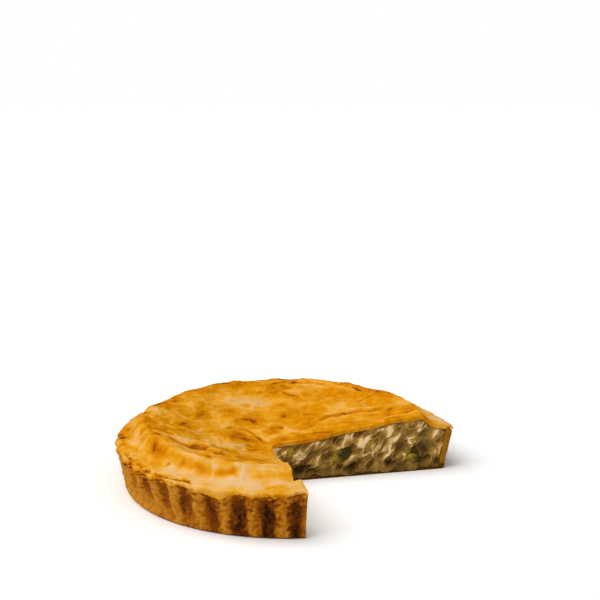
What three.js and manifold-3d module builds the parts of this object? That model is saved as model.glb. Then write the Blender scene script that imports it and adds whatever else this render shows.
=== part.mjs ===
// Cod pie with a quarter cut away: a fluted pastry case, the filling that runs through it, green
// olive pieces that show at the cuts, and a sunken, wrinkled pastry lid.
// Millimetres, +Z up. The origin is the centre of the round base, on the table.
import * as THREE from 'three';
import { mergeVertices } from 'three/addons/utils/BufferGeometryUtils.js';
import Module from 'manifold-3d';

const wasm = await Module();
wasm.setup();

// Pastry case, in millimetres and degrees.
const RIM_RADIUS = 125;
const BASE_RADIUS = 118;
const RIM_HEIGHT = 33;
const BASE_THICKNESS = 3.5;
const BASE_EDGE = 1.5;
const WALL_THICKNESS = 5.6;
const FLUTES = 40;
const FLUTE_DEPTH = 2.8;
const FLUTE_FADE = 9;
const RIM_FLUTE_DEPTH = 2;
const FIRST_RIDGE = -91.5;
const RIDGE_SOFTNESS = 0.2;

// Lid: a raised ring, the sunken middle inside it and the shelf between it and the rim.
const LID_THICKNESS = 3;
const RING_RADIUS = 102;
const RING_HEIGHT = 46;
const RING_TILT = 2.6;
const RING_HIGH_SIDE = 120;
const RING_ROUNDING = 5;
const LOBE_ANGLE = 174;
const LOBE_SPREAD = 14;
const LOBE_REACH = 6.5;
const SAG_X = -10;
const SAG_Y = -24;
const SAG_HEIGHT = 25;
const BOWL_POWER = 1.35;
const RISER_WIDTH = 8;
const SHELF_SLOPE = 0.13;
const EDGE_WIDTH = 5;
const EDGE_DROP = 1.6;
const EDGE_SCALLOP = 0.9;

// Rise and fall of the lid's edge: waves in one turn round the rim, their height and phase.
const RIM_WAVES = [
  { waves: 3, height: 0.35, phase: -50 },
  { waves: 11, height: 0.35, phase: 50 },
  { waves: 12, height: 0.3, phase: -20 },
  { waves: 46, height: 0.3, phase: 20 },
];

// Slow rolls across the lid: waves in one roll length along X and along Y.
const ROLL_LENGTH = 46;
const ROLL_HEIGHT = 0.35;
const ROLLS = [
  { alongX: 0.7, alongY: 1.4 },
  { alongX: 1.3, alongY: -0.6 },
];

// Long folds baked into the lid: each is a trough, or a swelling where its depth is negative.
const FOLDS = [
  { radius: 87, width: 6, depth: 2, angle: -143, spread: 26 },
  { radius: 70, width: 8, depth: -1.8, angle: -128, spread: 24 },
  { radius: 46, width: 9, depth: -2.4, angle: 168, spread: 34 },
  { radius: 62, width: 9, depth: 1.6, angle: 118, spread: 30 },
  { radius: 80, width: 8, depth: 1.8, angle: 48, spread: 26 },
];

// The two cuts that meet at the apex. Along the second one the ring has broken back a little.
const APEX_X = -11.4;
const APEX_Y = -16.1;
const CUT_A_ANGLE = 13;
const CUT_B_ANGLE = -77.4;
const CUT_LENGTH = 155;
const KNIFE_BELOW = 10;
const KNIFE_HEIGHT = 80;
const BREAK_ANGLE = -81;
const BREAK_RADIUS = 104;

// Torn surface of the filling at the cuts.
const TEAR_DEPTH_A = 1.8;
const TEAR_DEPTH_B = 0.7;
const TEAR_LENGTH = 23;
const TEAR_STEPS = 26;
const TEAR_LAYERS = 12;
const TEAR_FREE_LENGTH = 14;
const TEAR_WAVES = [
  { along: 0.7, up: 1.5, share: 0.33, phase: 0 },
  { along: 1.3, up: -0.3, share: 0.33, phase: 0 },
  { along: 1.7, up: -1.3, share: 0.34, phase: 60 },
];

// Olive pieces: which cut they show at, how far from the apex, how high, and their size.
const OLIVE_DEPTH = 9;
const OLIVE_SET_BACK = 1.2;
const OLIVES = [
  { cut: 'a', along: 58, height: 16.5, length: 12, width: 9.5, turn: 20 },
  { cut: 'a', along: 105, height: 9.5, length: 10, width: 7, turn: -15 },
  { cut: 'a', along: 12, height: 18, length: 8, width: 6, turn: 35 },
  { cut: 'b', along: 44, height: 15, length: 7, width: 12, turn: 10 },
];

// Clearance between neighbouring pieces, and how finely the round forms are divided.
const GAP = 0.35;
const HEADROOM = 1.4;
const CASE_COLUMNS = 240;
const LID_COLUMNS = 120;
const LID_ROWS = 15;
const FILLING_ROWS = 13;
const ROW_CROWDING = 1.5;
const OLIVE_COLUMNS = 10;
const OLIVE_ROWS = 7;
const MERGE_DISTANCE = 1e-3;

const crust = new THREE.MeshStandardMaterial({ color: '#b8752b', roughness: 0.7, metalness: 0 });
const glaze = new THREE.MeshStandardMaterial({ color: '#dd9a2e', roughness: 0.4, metalness: 0 });
const cod = new THREE.MeshStandardMaterial({ color: '#cbb486', roughness: 0.6, metalness: 0 });
const olive = new THREE.MeshStandardMaterial({ color: '#6f6f20', roughness: 0.35, metalness: 0 });

const { degToRad, radToDeg, smoothstep, lerp, euclideanModulo } = THREE.MathUtils;

// A hump of height 1 that dies away on both sides over the given width.
function hump(distance, width) {
  return Math.exp(-((distance / width) ** 2));
}

// The signed turn from one bearing to another, between -180 and 180 degrees.
function turnBetween(from, to) {
  return euclideanModulo(to - from + 180, 360) - 180;
}

// The lower of two heights, with the corner between them rounded off.
function roundedMinimum(first, second, rounding) {
  const overlap = Math.max(rounding - Math.abs(first - second), 0) / rounding;
  return Math.min(first, second) - overlap ** 2 * rounding / 4;
}

// How deep the fluting is at a bearing: 0 on a ridge, 1 in the middle of a channel.
function channel(angle) {
  const share = euclideanModulo(angle - FIRST_RIDGE, 360 / FLUTES) * FLUTES / 360;
  const scoop = Math.hypot(Math.sin(Math.PI * share), RIDGE_SOFTNESS) - RIDGE_SOFTNESS;
  return scoop / (Math.hypot(1, RIDGE_SOFTNESS) - RIDGE_SOFTNESS);
}

// Radius of the wall's ridges at a height: the case flares from its base to its rim.
function ridgeRadius(height) {
  return lerp(BASE_RADIUS, RIM_RADIUS, height / RIM_HEIGHT);
}

// Radius of the fluted wall: the channels run out near the base and are shallower at the rim.
function wallRadius(angle, height) {
  const low = smoothstep(height, 0, FLUTE_FADE);
  const high = smoothstep(height, RIM_HEIGHT - FLUTE_FADE, RIM_HEIGHT);
  const depth = lerp(FLUTE_DEPTH * low, RIM_FLUTE_DEPTH, high);
  return ridgeRadius(height) - depth * channel(angle);
}

// How far a point lies on the way from the lowest point of the lid to the ring.
function shareOfBowl(x, y, ringRadius) {
  const fromSagX = x - SAG_X;
  const fromSagY = y - SAG_Y;
  const reach = Math.max(Math.hypot(fromSagX, fromSagY), MERGE_DISTANCE);
  const towards = (SAG_X * fromSagX + SAG_Y * fromSagY) / reach;
  const spare = ringRadius ** 2 - SAG_X ** 2 - SAG_Y ** 2;
  return reach / (Math.sqrt(towards ** 2 + spare) - towards);
}

// The lid's folds and slow rolls.
function unevenness(x, y, radius, angle) {
  let height = 0;
  for (const roll of ROLLS) {
    const turns = (roll.alongX * x + roll.alongY * y) / ROLL_LENGTH;
    height += ROLL_HEIGHT * Math.sin(2 * Math.PI * turns);
  }
  for (const fold of FOLDS) {
    const across = hump(radius - fold.radius, fold.width);
    height -= fold.depth * across * hump(turnBetween(angle, fold.angle), fold.spread);
  }
  return height * (1 - smoothstep(radius, RING_RADIUS, RIM_RADIUS));
}

// Slow ripples and short crags of the lid's edge at a bearing.
function rimRipple(angle) {
  let height = 0;
  for (const ripple of RIM_WAVES) {
    height += ripple.height * Math.sin(degToRad(ripple.waves * angle + ripple.phase));
  }
  return height;
}

// Height of the lid's upper side above the table.
function lidTop(x, y) {
  const radius = Math.hypot(x, y);
  const angle = radToDeg(Math.atan2(y, x));
  const ringRadius = RING_RADIUS + LOBE_REACH * hump(turnBetween(angle, LOBE_ANGLE), LOBE_SPREAD);
  const ringHeight = RING_HEIGHT + RING_TILT * Math.cos(degToRad(angle - RING_HIGH_SIDE));
  const bowlShare = shareOfBowl(x, y, ringRadius) ** BOWL_POWER;
  const bowl = lerp(SAG_HEIGHT, ringHeight, bowlShare);
  const shelf = RIM_HEIGHT + SHELF_SLOPE * (RIM_RADIUS - radius) + rimRipple(angle);
  const riser = smoothstep(radius, ringRadius, ringRadius + RISER_WIDTH);
  const outside = lerp(ringHeight, shelf, riser);
  const edge = EDGE_DROP * smoothstep(radius, RIM_RADIUS - EDGE_WIDTH, RIM_RADIUS) ** 2;
  return roundedMinimum(bowl, outside, RING_ROUNDING) - edge + unevenness(x, y, radius, angle);
}

function lidUnderside(x, y) {
  return lidTop(x, y) - LID_THICKNESS;
}

// Radii of the rings of vertices on the lid, closer together towards the rim.
function rowRadius(row) {
  return RIM_RADIUS * (1 - (1 - row / LID_ROWS) ** ROW_CROWDING);
}

// A closed body turned from a profile, then shaped: place gives each vertex its real radius and height.
function turned(profile, columns, place) {
  const geometry = new THREE.LatheGeometry(profile, columns, degToRad(FIRST_RIDGE + 90));
  geometry.rotateX(Math.PI / 2);
  const position = geometry.attributes.position;
  for (let i = 0; i < position.count; i += 1) {
    const row = i % profile.length;
    const angle = radToDeg(Math.atan2(position.getY(i), position.getX(i)));
    const { radius, height } = place(profile[row], angle, row);
    const bearing = degToRad(angle);
    position.setXYZ(i, radius * Math.cos(bearing), radius * Math.sin(bearing), height);
  }
  return geometry;
}

// Point at a radius and bearing, for the height functions above.
function heightAt(surface, radius, angle) {
  const bearing = degToRad(angle);
  return surface(radius * Math.cos(bearing), radius * Math.sin(bearing));
}

// A closed solid from a geometry: shared vertices merged and collapsed triangles dropped.
function solidFrom(geometry) {
  const bare = geometry.clone();
  bare.deleteAttribute('normal');
  bare.deleteAttribute('uv');
  const merged = mergeVertices(bare, MERGE_DISTANCE);
  const corners = merged.index.array;
  const triangles = [];
  for (let i = 0; i < corners.length; i += 3) {
    const [a, b, c] = corners.slice(i, i + 3);
    if (a !== b && b !== c && c !== a) {
      triangles.push(a, b, c);
    }
  }
  const vertProperties = merged.attributes.position.array;
  const triVerts = Uint32Array.from(triangles);
  return new wasm.Manifold(new wasm.Mesh({ numProp: 3, vertProperties, triVerts }));
}

function meshFrom(solid, name, material) {
  const { vertProperties, triVerts } = solid.getMesh();
  const geometry = new THREE.BufferGeometry();
  geometry.setAttribute('position', new THREE.BufferAttribute(vertProperties, 3));
  geometry.setIndex(new THREE.BufferAttribute(triVerts, 1));
  geometry.computeVertexNormals();
  const mesh = new THREE.Mesh(geometry, material);
  mesh.name = name;
  return mesh;
}

// The cuts in plan: a start, a direction and the normal that points into the pie.
function cutLine(angle, inwardTurn) {
  const bearing = degToRad(angle);
  const inward = degToRad(angle + inwardTurn);
  return {
    bearing,
    start: new THREE.Vector2(APEX_X, APEX_Y),
    direction: new THREE.Vector2(Math.cos(bearing), Math.sin(bearing)),
    inward: new THREE.Vector2(Math.cos(inward), Math.sin(inward)),
  };
}

const cutA = cutLine(CUT_A_ANGLE, 90);
const cutB = cutLine(CUT_B_ANGLE, -90);
const breakLine = cutLine(BREAK_ANGLE, -90);

function pointAlong(cut, distance) {
  return cut.start.clone().addScaledVector(cut.direction, distance);
}

// Distance from the apex at which a cut crosses a circle about the pie's centre.
function reachOf(cut, radius) {
  const towards = cut.start.dot(cut.direction);
  return Math.sqrt(towards ** 2 + radius ** 2 - cut.start.lengthSq()) - towards;
}

// Outline of the missing quarter in plan, with its two sides divided into steps.
function quarterOutline(steps) {
  const sideA = [];
  const sideB = [];
  for (let i = 0; i <= steps; i += 1) {
    sideA.push(pointAlong(cutA, CUT_LENGTH * i / steps));
  }
  for (let i = steps; i > 0; i -= 1) {
    sideB.push(pointAlong(cutB, CUT_LENGTH * i / steps));
  }
  const corner = pointAlong(cutA, CUT_LENGTH).addScaledVector(cutB.direction, CUT_LENGTH);
  return [...sideA, corner, ...sideB];
}

// The lid's outline of the quarter, where the ring has broken back from the second cut.
function lidQuarterOutline() {
  const outline = quarterOutline(1);
  outline.push(pointAlong(cutB, reachOf(cutB, BREAK_RADIUS)));
  outline.push(pointAlong(breakLine, reachOf(breakLine, BREAK_RADIUS)));
  return outline;
}

function knife(outline, layers) {
  const shape = new THREE.Shape(outline);
  const geometry = new THREE.ExtrudeGeometry(shape, {
    depth: KNIFE_HEIGHT,
    steps: layers,
    bevelEnabled: false,
  });
  geometry.translate(0, 0, -KNIFE_BELOW);
  return geometry;
}

// Depth of the torn relief on a cut, from -1 to 1, at a distance from the apex and a height.
function tear(along, height) {
  let depth = 0;
  for (const wave of TEAR_WAVES) {
    const turns = (wave.along * along + wave.up * height) / TEAR_LENGTH;
    depth += wave.share * Math.sin(2 * Math.PI * turns + degToRad(wave.phase));
  }
  return depth;
}

// The knife for the filling: its two faces are as uneven as the torn filling they leave.
function tearingKnife() {
  const geometry = knife(quarterOutline(TEAR_STEPS), TEAR_LAYERS);
  const position = geometry.attributes.position;
  for (const [cut, depth] of [[cutA, TEAR_DEPTH_A], [cutB, TEAR_DEPTH_B]]) {
    for (let i = 0; i < position.count; i += 1) {
      const place = new THREE.Vector2(position.getX(i), position.getY(i));
      const fromApex = place.clone().sub(cut.start);
      const along = fromApex.dot(cut.direction);
      if (Math.abs(fromApex.dot(cut.inward)) < MERGE_DISTANCE) {
        const fade = smoothstep(along, 0, TEAR_FREE_LENGTH);
        place.addScaledVector(cut.inward, depth * fade * tear(along, position.getZ(i)));
        position.setXY(i, place.x, place.y);
      }
    }
  }
  return geometry;
}

// The pastry case: a flat base and a fluted wall that ends just under the lid.
function pastryCase() {
  const wallRows = [BASE_EDGE, FLUTE_FADE / 2, FLUTE_FADE, RIM_HEIGHT - FLUTE_FADE];
  const profile = [
    new THREE.Vector2(0, 0),
    new THREE.Vector2(BASE_RADIUS - 2 * BASE_EDGE, 0),
    ...wallRows.map((height) => new THREE.Vector2(ridgeRadius(height), height)),
    new THREE.Vector2(RIM_RADIUS, RIM_HEIGHT),
    new THREE.Vector2(RIM_RADIUS - WALL_THICKNESS, RIM_HEIGHT),
    new THREE.Vector2(ridgeRadius(BASE_THICKNESS) - WALL_THICKNESS, BASE_THICKNESS),
    new THREE.Vector2(0, BASE_THICKNESS),
  ];
  const topRow = 2 + wallRows.length;
  const place = (point, angle, row) => {
    if (row >= 2 && row < topRow) {
      return { radius: wallRadius(angle, point.y), height: point.y };
    }
    if (row === topRow || row === topRow + 1) {
      const radius = row === topRow ? wallRadius(angle, point.y) : point.x;
      return { radius, height: heightAt(lidUnderside, radius, angle) - GAP };
    }
    return { radius: point.x, height: point.y };
  };
  return turned(profile, CASE_COLUMNS, place);
}

// The lid: upper and under side with the same rows, so it is as thick all over.
function pastryLid() {
  const under = [];
  const upper = [];
  for (let row = 0; row <= LID_ROWS; row += 1) {
    under.push(new THREE.Vector2(rowRadius(row), 0));
    upper.unshift(new THREE.Vector2(rowRadius(row), LID_THICKNESS));
  }
  const place = (point, angle) => {
    const atEdge = point.x === RIM_RADIUS;
    const radius = point.x - (atEdge ? EDGE_SCALLOP * channel(angle) : 0);
    return { radius, height: heightAt(lidUnderside, radius, angle) + point.y };
  };
  return turned([...under, ...upper], LID_COLUMNS, place);
}

// The filling: it fills the case and follows the underside of the lid.
function fillingBody() {
  const floor = BASE_THICKNESS + GAP;
  const profile = [
    new THREE.Vector2(0, floor),
    new THREE.Vector2(ridgeRadius(floor) - WALL_THICKNESS - GAP, floor),
  ];
  for (let row = FILLING_ROWS; row >= 0; row -= 1) {
    profile.push(new THREE.Vector2(rowRadius(row), RIM_HEIGHT));
  }
  const place = (point, angle) => {
    const ceiling = heightAt(lidUnderside, point.x, angle) - HEADROOM;
    return { radius: point.x, height: point.y === floor ? floor : ceiling };
  };
  return turned(profile, LID_COLUMNS, place);
}

// An olive piece set into a cut face, or its pocket where margin is the clearance round it.
function olivePiece({ cut, along, height, length, width, turn }, margin) {
  const line = cut === 'a' ? cutA : cutB;
  const centre = pointAlong(line, along).addScaledVector(line.inward, OLIVE_SET_BACK);
  const geometry = new THREE.SphereGeometry(0.5, OLIVE_COLUMNS, OLIVE_ROWS);
  geometry.scale(length + 2 * margin, OLIVE_DEPTH + 2 * margin, width + 2 * margin);
  geometry.rotateY(degToRad(turn));
  geometry.rotateZ(line.bearing);
  geometry.translate(centre.x, centre.y, height);
  return geometry;
}

const straightKnife = solidFrom(knife(quarterOutline(1), 1));
const lidKnife = solidFrom(knife(lidQuarterOutline(), 1));
let filling = solidFrom(fillingBody()).subtract(solidFrom(tearingKnife()));
for (const piece of OLIVES) {
  filling = filling.subtract(solidFrom(olivePiece(piece, GAP)));
}

const codPie = new THREE.Group();
codPie.add(meshFrom(solidFrom(pastryCase()).subtract(straightKnife), 'pastry_case', crust));
codPie.add(meshFrom(filling, 'filling', cod));
codPie.add(meshFrom(solidFrom(pastryLid()).subtract(lidKnife), 'pastry_lid', glaze));
OLIVES.forEach((piece, index) => {
  const solid = solidFrom(olivePiece(piece, 0));
  codPie.add(meshFrom(solid, `olive_${index + 1}`, olive));
});

export default codPie;
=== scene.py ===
import math
import random
from functools import partial

import bmesh
import bpy
import numpy as np
from bpy.props import FloatProperty, FloatVectorProperty, IntProperty, PointerProperty
from bpy.types import Operator, Panel, PropertyGroup
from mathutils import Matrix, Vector, noise


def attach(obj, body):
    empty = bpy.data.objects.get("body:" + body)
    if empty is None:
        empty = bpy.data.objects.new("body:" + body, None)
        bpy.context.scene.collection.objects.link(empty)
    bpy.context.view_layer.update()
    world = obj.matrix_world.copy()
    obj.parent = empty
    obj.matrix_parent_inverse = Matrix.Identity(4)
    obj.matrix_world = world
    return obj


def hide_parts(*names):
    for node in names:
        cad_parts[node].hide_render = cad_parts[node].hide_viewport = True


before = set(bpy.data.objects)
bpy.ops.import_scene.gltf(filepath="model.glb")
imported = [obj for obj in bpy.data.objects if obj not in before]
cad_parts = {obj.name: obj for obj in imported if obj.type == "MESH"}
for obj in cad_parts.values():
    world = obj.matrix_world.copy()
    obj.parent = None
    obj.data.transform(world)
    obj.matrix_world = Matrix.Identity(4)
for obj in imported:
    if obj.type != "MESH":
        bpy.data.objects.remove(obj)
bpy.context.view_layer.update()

bl_info = {
    "name": "Cod Pie",
    "version": (1, 0, 0),
    "blender": (4, 5, 0),
    "location": "3D View > Sidebar > Cod Pie",
    "description": "Models a cod pie with a quarter cut away, and its studio stage",
    "category": "Add Mesh",
}

MM = 0.001
WELD = 1e-6

# Pastry case, in millimetres and degrees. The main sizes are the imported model's own.
RIM_RADIUS = 125.0
BASE_RADIUS = 118.0
RIM_HEIGHT = 33.0
BASE_THICKNESS = 3.5
WALL_THICKNESS = 5.6
FLUTES = 40
FLUTE_DEPTH = 2.8
FLUTE_FADE = 9.0
FOOT_HEIGHT = 1.2
FOOT_INSET = 1.6
INNER_FILLET = 1.0
RIM_ROUNDING = 1.6
RIM_ROUNDING_HEIGHT = 0.8
FIRST_RIDGE = -91.5
RIDGE_SOFTNESS = 0.2
GAP_UNDER_LID = 0.1
ARCH_HEIGHT = 27.5
# Waves in the height of the flutes' arches: number round the pie, height and phase.
ARCH_WAVES = ((7, 1.6, 40), (17, 1.2, 0))

# Lid: a raised ring, the sunken middle inside it and the shelf between it and the rim.
LID_THICKNESS = 3.0
RING_RADIUS = 102.0
RING_HEIGHT = 46.0
RING_TILT = 2.6
RING_HIGH_SIDE = 120.0
RING_ROUNDING = 5.0
LOBE_ANGLE = 174.0
LOBE_SPREAD = 14.0
LOBE_REACH = 6.5
SAG_X = -10.0
SAG_Y = -24.0
SAG_HEIGHT = 25.0
BOWL_POWER = 1.35
RISER_WIDTH = 8.0
SHELF_SLOPE = 0.13
EDGE_WIDTH = 5.0
EDGE_DROP = 1.6
EDGE_SCALLOP = 1.3
LID_EDGE_THICKNESS = 1.7
CUT_THINNING = 0.6
CUT_THINNING_WIDTH = 6.0
CUT_DROOP = 0.7
# Waves in the height of the rim: number round the pie, height and phase.
RIM_WAVES = ((3, 0.35, -50), (11, 0.35, 50), (12, 0.3, -20), (46, 0.3, 20))
ROLL_LENGTH = 46.0
ROLL_HEIGHT = 0.35
# Low rolls of the lid: waves to the right and to the back in one roll length.
ROLLS = ((0.7, 1.4), (1.3, -0.6))
# Low folds of the lid: radius, width, depth, bearing and spread in degrees.
FOLDS = (
    (87, 6, 2.0, -143, 26),
    (70, 8, -1.8, -128, 24),
    (46, 9, -2.4, 168, 34),
    (62, 9, 1.6, 118, 30),
    (80, 8, 1.8, 48, 26),
)

# The two cuts that meet at the apex. Along the second one the lid's ring has broken back.
APEX = np.array((-11.4, -16.1))
CUT_A = 13.0
CUT_B = 282.6
# Turn from each cut's bearing to the direction into the pie.
INWARD_TURN = {CUT_A: 90.0, CUT_B: -90.0}
BREAK_TURN = 4.0
BREAK_RADIUS = 109.0
BREAK_BAND = 15.0
BREAK_START = 4.0
BREAK_SOFTNESS = 2.5

# About how long the lid's outline is: along the first cut, round the rim and along the second cut.
LID_SIDES = (139.0, 590.0, 109.0)
# How much further apart the lid's vertices are along the cuts than along the rim.
CUT_SPACING = 1.45

# How far the lid rises towards the first cut: distances from the apex and heights.
CUT_RISE = ((-7, 0, 5, 14, 26, 40, 60, 80, 102), (0, 2.2, 3.9, 4.0, 3.8, 3.8, 3.6, 2.4, 0))
CUT_RISE_WIDTH = 13.0

# Centre from which the whole outline of the lid and the filling can be seen in plan.
HUB_DISTANCE = 40.0
HUB_BEARING = math.radians(148)
HUB = APEX + HUB_DISTANCE * np.array((math.cos(HUB_BEARING), math.sin(HUB_BEARING)))

# Bearing at which the lid's wrinkles start and end, in the open quarter.
SEAM_BEARING = -40.0

# How far the filling runs into the pastry round it, so that no gap shows.
INTO_WALL = 0.2
INTO_LID = 0.3
INTO_BASE = 0.1

# Torn relief of the filling at the cuts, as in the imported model.
TEAR_LENGTH = 23.0
FIBRE_LIE = 50.0
TEAR_FREE_LENGTH = 14.0
# Waves of the tear: number along and up in one tear length, share and phase.
TEAR_WAVES = ((0.7, 1.5, 0.33, 0), (1.3, -0.3, 0.33, 0), (1.7, -1.3, 0.34, 60))

# Where shreds and specks lie: distances from the apex, and heights.
FIRST_CUT_STRETCH = (8, 122)
SECOND_CUT_STRETCH = (8, 98)
SHRED_HEIGHTS = (5, 36)

# Olive pieces, with the paleness of their flesh.
OLIVE_DEPTH = 9.0
OLIVE_SET_BACK = 1.2
OLIVE_TONES = (0.12, 0.2, 1.2, 1.0)
# Each piece's cut, distance from the apex, height, length, width and turn.
OLIVES = (
    (CUT_A, 52, 16, 14.5, 10, 28),
    (CUT_A, 109, 9.5, 10, 7, -15),
    (CUT_A, 14, 21.8, 6.8, 5.2, 35),
    (CUT_B, 44, 15, 7, 12, 10),
)
OLIVES_A = tuple(olive for olive in OLIVES if olive[0] == CUT_A)

# Deep folds of the lid in plan: the line, its width, depth, step across it and paleness of its lips. A groove
# is browned with painted shade; a negative depth makes a raised line with a painted highlight, and the pale
# lips are painted highlights too.
CREASES = (
    (
        ((-97, -36), (-86, -40), (-77, -42), (-70, -45), (-62, -51), (-54, -57), (-45, -64), (-36, -69)),
        2.6, 0.95, 1.3, 0.7,
    ),
    (((-99, -27), (-90, -38), (-83, -43), (-75, -43)), 1.3, 0.8, 0.5, 0.6),
    (((-68, -64), (-59, -77), (-49, -85), (-35, -88), (-20, -86)), 2.0, 0.6, 0.4, 0.3),
    (
        ((-76, -66), (-70, -75), (-65, -82), (-59, -87), (-46, -94), (-36, -96), (-26, -97), (-12, -96)),
        1.7, -1.0, 0.3, 0.0,
    ),
    (((-88, -14), (-80, -27), (-74, -35), (-64, -37)), 1.3, -0.6, 0.3, 0.0),
    (((-92, -55), (-85, -57), (-79, -59), (-72, -55), (-65, -59)), 1.5, -0.6, 0.3, 0.0),
    (((-30, -86), (-22, -90), (-14, -94), (-2, -97)), 1.0, -0.6, 0.2, 0.0),
    (((-74, -24), (-67, -8), (-62, 2), (-56, 6)), 1.4, -0.6, 0.0, 0.0),
    (((-68, -14), (-60, -6), (-51, 2), (-41, 12), (-30, 13), (-23, 5), (-15, -7)), 1.7, 1.0, -1.4, 0.6),
    (((-92, 2), (-82, -3), (-74, -7), (-66, -9), (-58, 0)), 1.2, 0.6, -0.6, 0.7),
    (((-36, 24), (-29, 31), (-22, 21), (-14, 17), (-8, 10)), 1.6, 0.8, 0.9, 0.5),
    (((-26, 12), (-18, 7), (-10, 1), (-5, -6)), 1.2, 0.6, 0.5, 0.9),
    (((-9, 25), (-4, 18), (2, 10), (7, 2)), 1.3, 0.6, 0.5, 0.9),
    (
        ((-94, -26), (-83, -33), (-72, -35), (-58, -35), (-39, -25), (-27, -12), (-18, -7)),
        1.7, -0.9, 0.4, 0.1,
    ),
    (((-119, -20), (-112, -35), (-104, -47), (-94, -53)), 1.3, 0.8, 0.5, 0.7),
    (((-62, -62), (-48, -68), (-34, -70), (-20, -68), (-8, -62)), 1.2, 0.7, 0.8, 0.7),
    (((-108, 16), (-99, 25), (-92, 38), (-80, 46)), 1.2, 0.6, 0.6, 0.6),
    (((-60, 40), (-48, 50), (-30, 55), (-14, 52)), 1.4, 0.5, 0.7, 0.6),
    (((20, 22), (32, 34), (48, 38), (62, 34), (78, 38)), 1.4, 0.9, 0.9, 0.7),
    (((36, 58), (52, 56), (68, 62), (82, 52)), 1.3, 0.8, -0.8, 0.7),
    (((64, 18), (78, 22), (92, 20), (102, 26)), 1.2, 0.7, 0.7, 0.8),
    (((-20, 88), (-2, 94), (20, 92), (38, 84)), 1.3, 0.7, 0.8, 0.7),
    (((-45, -92), (-48.5, -97), (-50, -104)), 1.1, -0.5, 0.0, 0.0),
    (((-26, -96), (-29, -102), (-31, -108)), 1.5, -0.6, 0.0, 0.0),
    (((-24, 7), (-17.5, 3), (-11, -1.5)), 2.0, -1.1, 0.0, 0.0),
    (((-4, 21), (2.4, 13.6), (7.5, 4)), 2.0, -1.1, 0.0, 0.0),
    (((-103, -66), (-95, -77), (-87, -85)), 1.3, 2.0, 0.3, 0.3),
    (((-86, -87), (-79, -93), (-71, -98)), 1.3, 2.0, 0.3, 0.3),
    (((-73, -98), (-68, -101), (-60, -106)), 1.1, 1.6, 0.3, 0.3),
    (((-112, -46), (-107, -57), (-102, -64)), 1.1, 1.3, 0.3, 0.4),
    (((-118, 34), (-110, 52), (-100, 68)), 1.2, 1.6, 0.3, 0.3),
    (((20, 119), (36, 115), (50, 109)), 1.2, 1.6, 0.3, 0.3),
    (((78, 92), (92, 78), (103, 64)), 1.2, 1.6, 0.3, 0.3),
)
# Places where the lid hangs over the wall: bearing, half width in degrees and drop in millimetres.
SPILLS = ((-112, 4.5, 3.4), (-97, 3, 0.8), (110, 5, 2.6), (48, 4, 2.0))
# Pastry layers that part at the rim.
LAYER_ROOT = 7.0
LAYER_DIP = 2.4
LAYER_HALF_THICKNESS = 0.5
LAYER_LOSS = 3.5
LAYER_END_GAP = 0.25
# Each layer's drop below the lid's top, reach past its edge and raggedness.
RIM_LAYERS = ((1.0, -0.2, 1.5), (2.4, 0.0, 1.7), (3.8, -0.4, 1.6))
# Sides where the rim is flaky: bearing and half width in degrees. Loose flakes lie on the broad ones.
BROAD_FLAKY_SIDES = ((-142, 24), (150, 20), (75, 26))
FLAKY_SIDES = (*BROAD_FLAKY_SIDES, (-94, 5))
# Small open cuts and pricks in the lid, darkened inside with painted shade: plan start, plan end, width and
# depth.
SLITS = (
    ((-4, 75.5), (9, 69.5), 1.5, 2.4),
    ((-79.4, -75.4), (-78.6, -75.8), 1.3, 2.0),
    ((52, 78), (60, 72), 1.2, 2.0),
)

# Browner and paler patches of the lid in plan, some painted: shade along the main crease and highlights on
# the shelf and ring. Each has its centre, two half widths and change in baking.
PATCHES = (
    (-47, 38, 16, 9, 0.14),
    (-77, 2, 8, 6, 0.2),
    (-34, 62, 20, 9, -0.26),
    (-20, 58, 10, 6, -0.14),
    (-24, 29, 10, 6, 0.18),
    (19, 30, 18, 9, 0.14),
    (-37, 0, 19, 8, 0.2),
    (-21, -22, 13, 7, 0.24),
    (-61, -51, 18, 6, 0.3),
    (-64, -86, 6, 5, 0.2),
    (-57, -92, 7, 4, 0.2),
    (-85, -64, 6, 5, 0.14),
    (-93, -51, 6, 7, 0.22),
    (-117, -34, 6, 14, 0.34),
    (-121, -4, 7, 18, 0.36),
    (-46, -25, 19, 7, -0.34),
    (-12, -108, 12, 6, -0.06),
    (-12, -98, 15, 6, -0.18),
    (-106, -23, 4, 8, -0.2),
    (-89, 14, 9, 8, -0.16),
    (-105, 12, 7, 7, -0.12),
    (-78, -17, 7, 6, 0.16),
    (-70, -80, 7, 5, 0.2),
    (-38, -98, 9, 3, 0.14),
    (-11, 17, 8, 6, 0.16),
    (-92, -25, 6, 6, 0.14),
    (-76, 44, 15, 8, -0.2),
    (-74, -66, 5, 3, -0.14),
    (-78, -79, 6, 5, -0.18),
    (-59, -99, 8, 5, -0.2),
    (-117, 18, 6, 8, 0.12),
    (-70, 69, 12, 7, 0.14),
    (-39, 84, 14, 6, 0.12),
    (-67, -92, 11, 7, -0.26),
    (-40, -108, 17, 7, -0.42),
    (-16, -113, 12, 5, -0.1),
    (-10, -106, 6, 4, 0.04),
    (-26, -103, 12, 4, -0.2),
    (-5, -110, 7, 5, -0.1),
    (6, -115, 6, 6, -0.12),
    (-15, 5, 7, 4, -0.2),
    (0, 12, 7, 5, -0.2),
    (18, 0, 24, 7, 0.1),
    (52, 46, 14, 8, -0.18),
    (74, 30, 10, 7, 0.15),
    (30, 72, 12, 7, 0.14),
    (88, 44, 8, 10, -0.15),
    (60, 86, 12, 7, -0.14),
)

# Long shreds that show on the first cut face: start and end along it and up it, and width.
LONG_SHREDS = (
    ((75.4, 11.1), (93, 27.4), 2.2),
    ((81.6, 9), (96.9, 24.8), 2.0),
    ((41, 8.5), (56, 24), 2.2),
    ((45.6, 4.5), (50.9, 11.5), 2.0),
    ((75, 10), (77, 24), 2.0),
    ((100, 26), (112, 27), 2.4),
)

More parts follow.
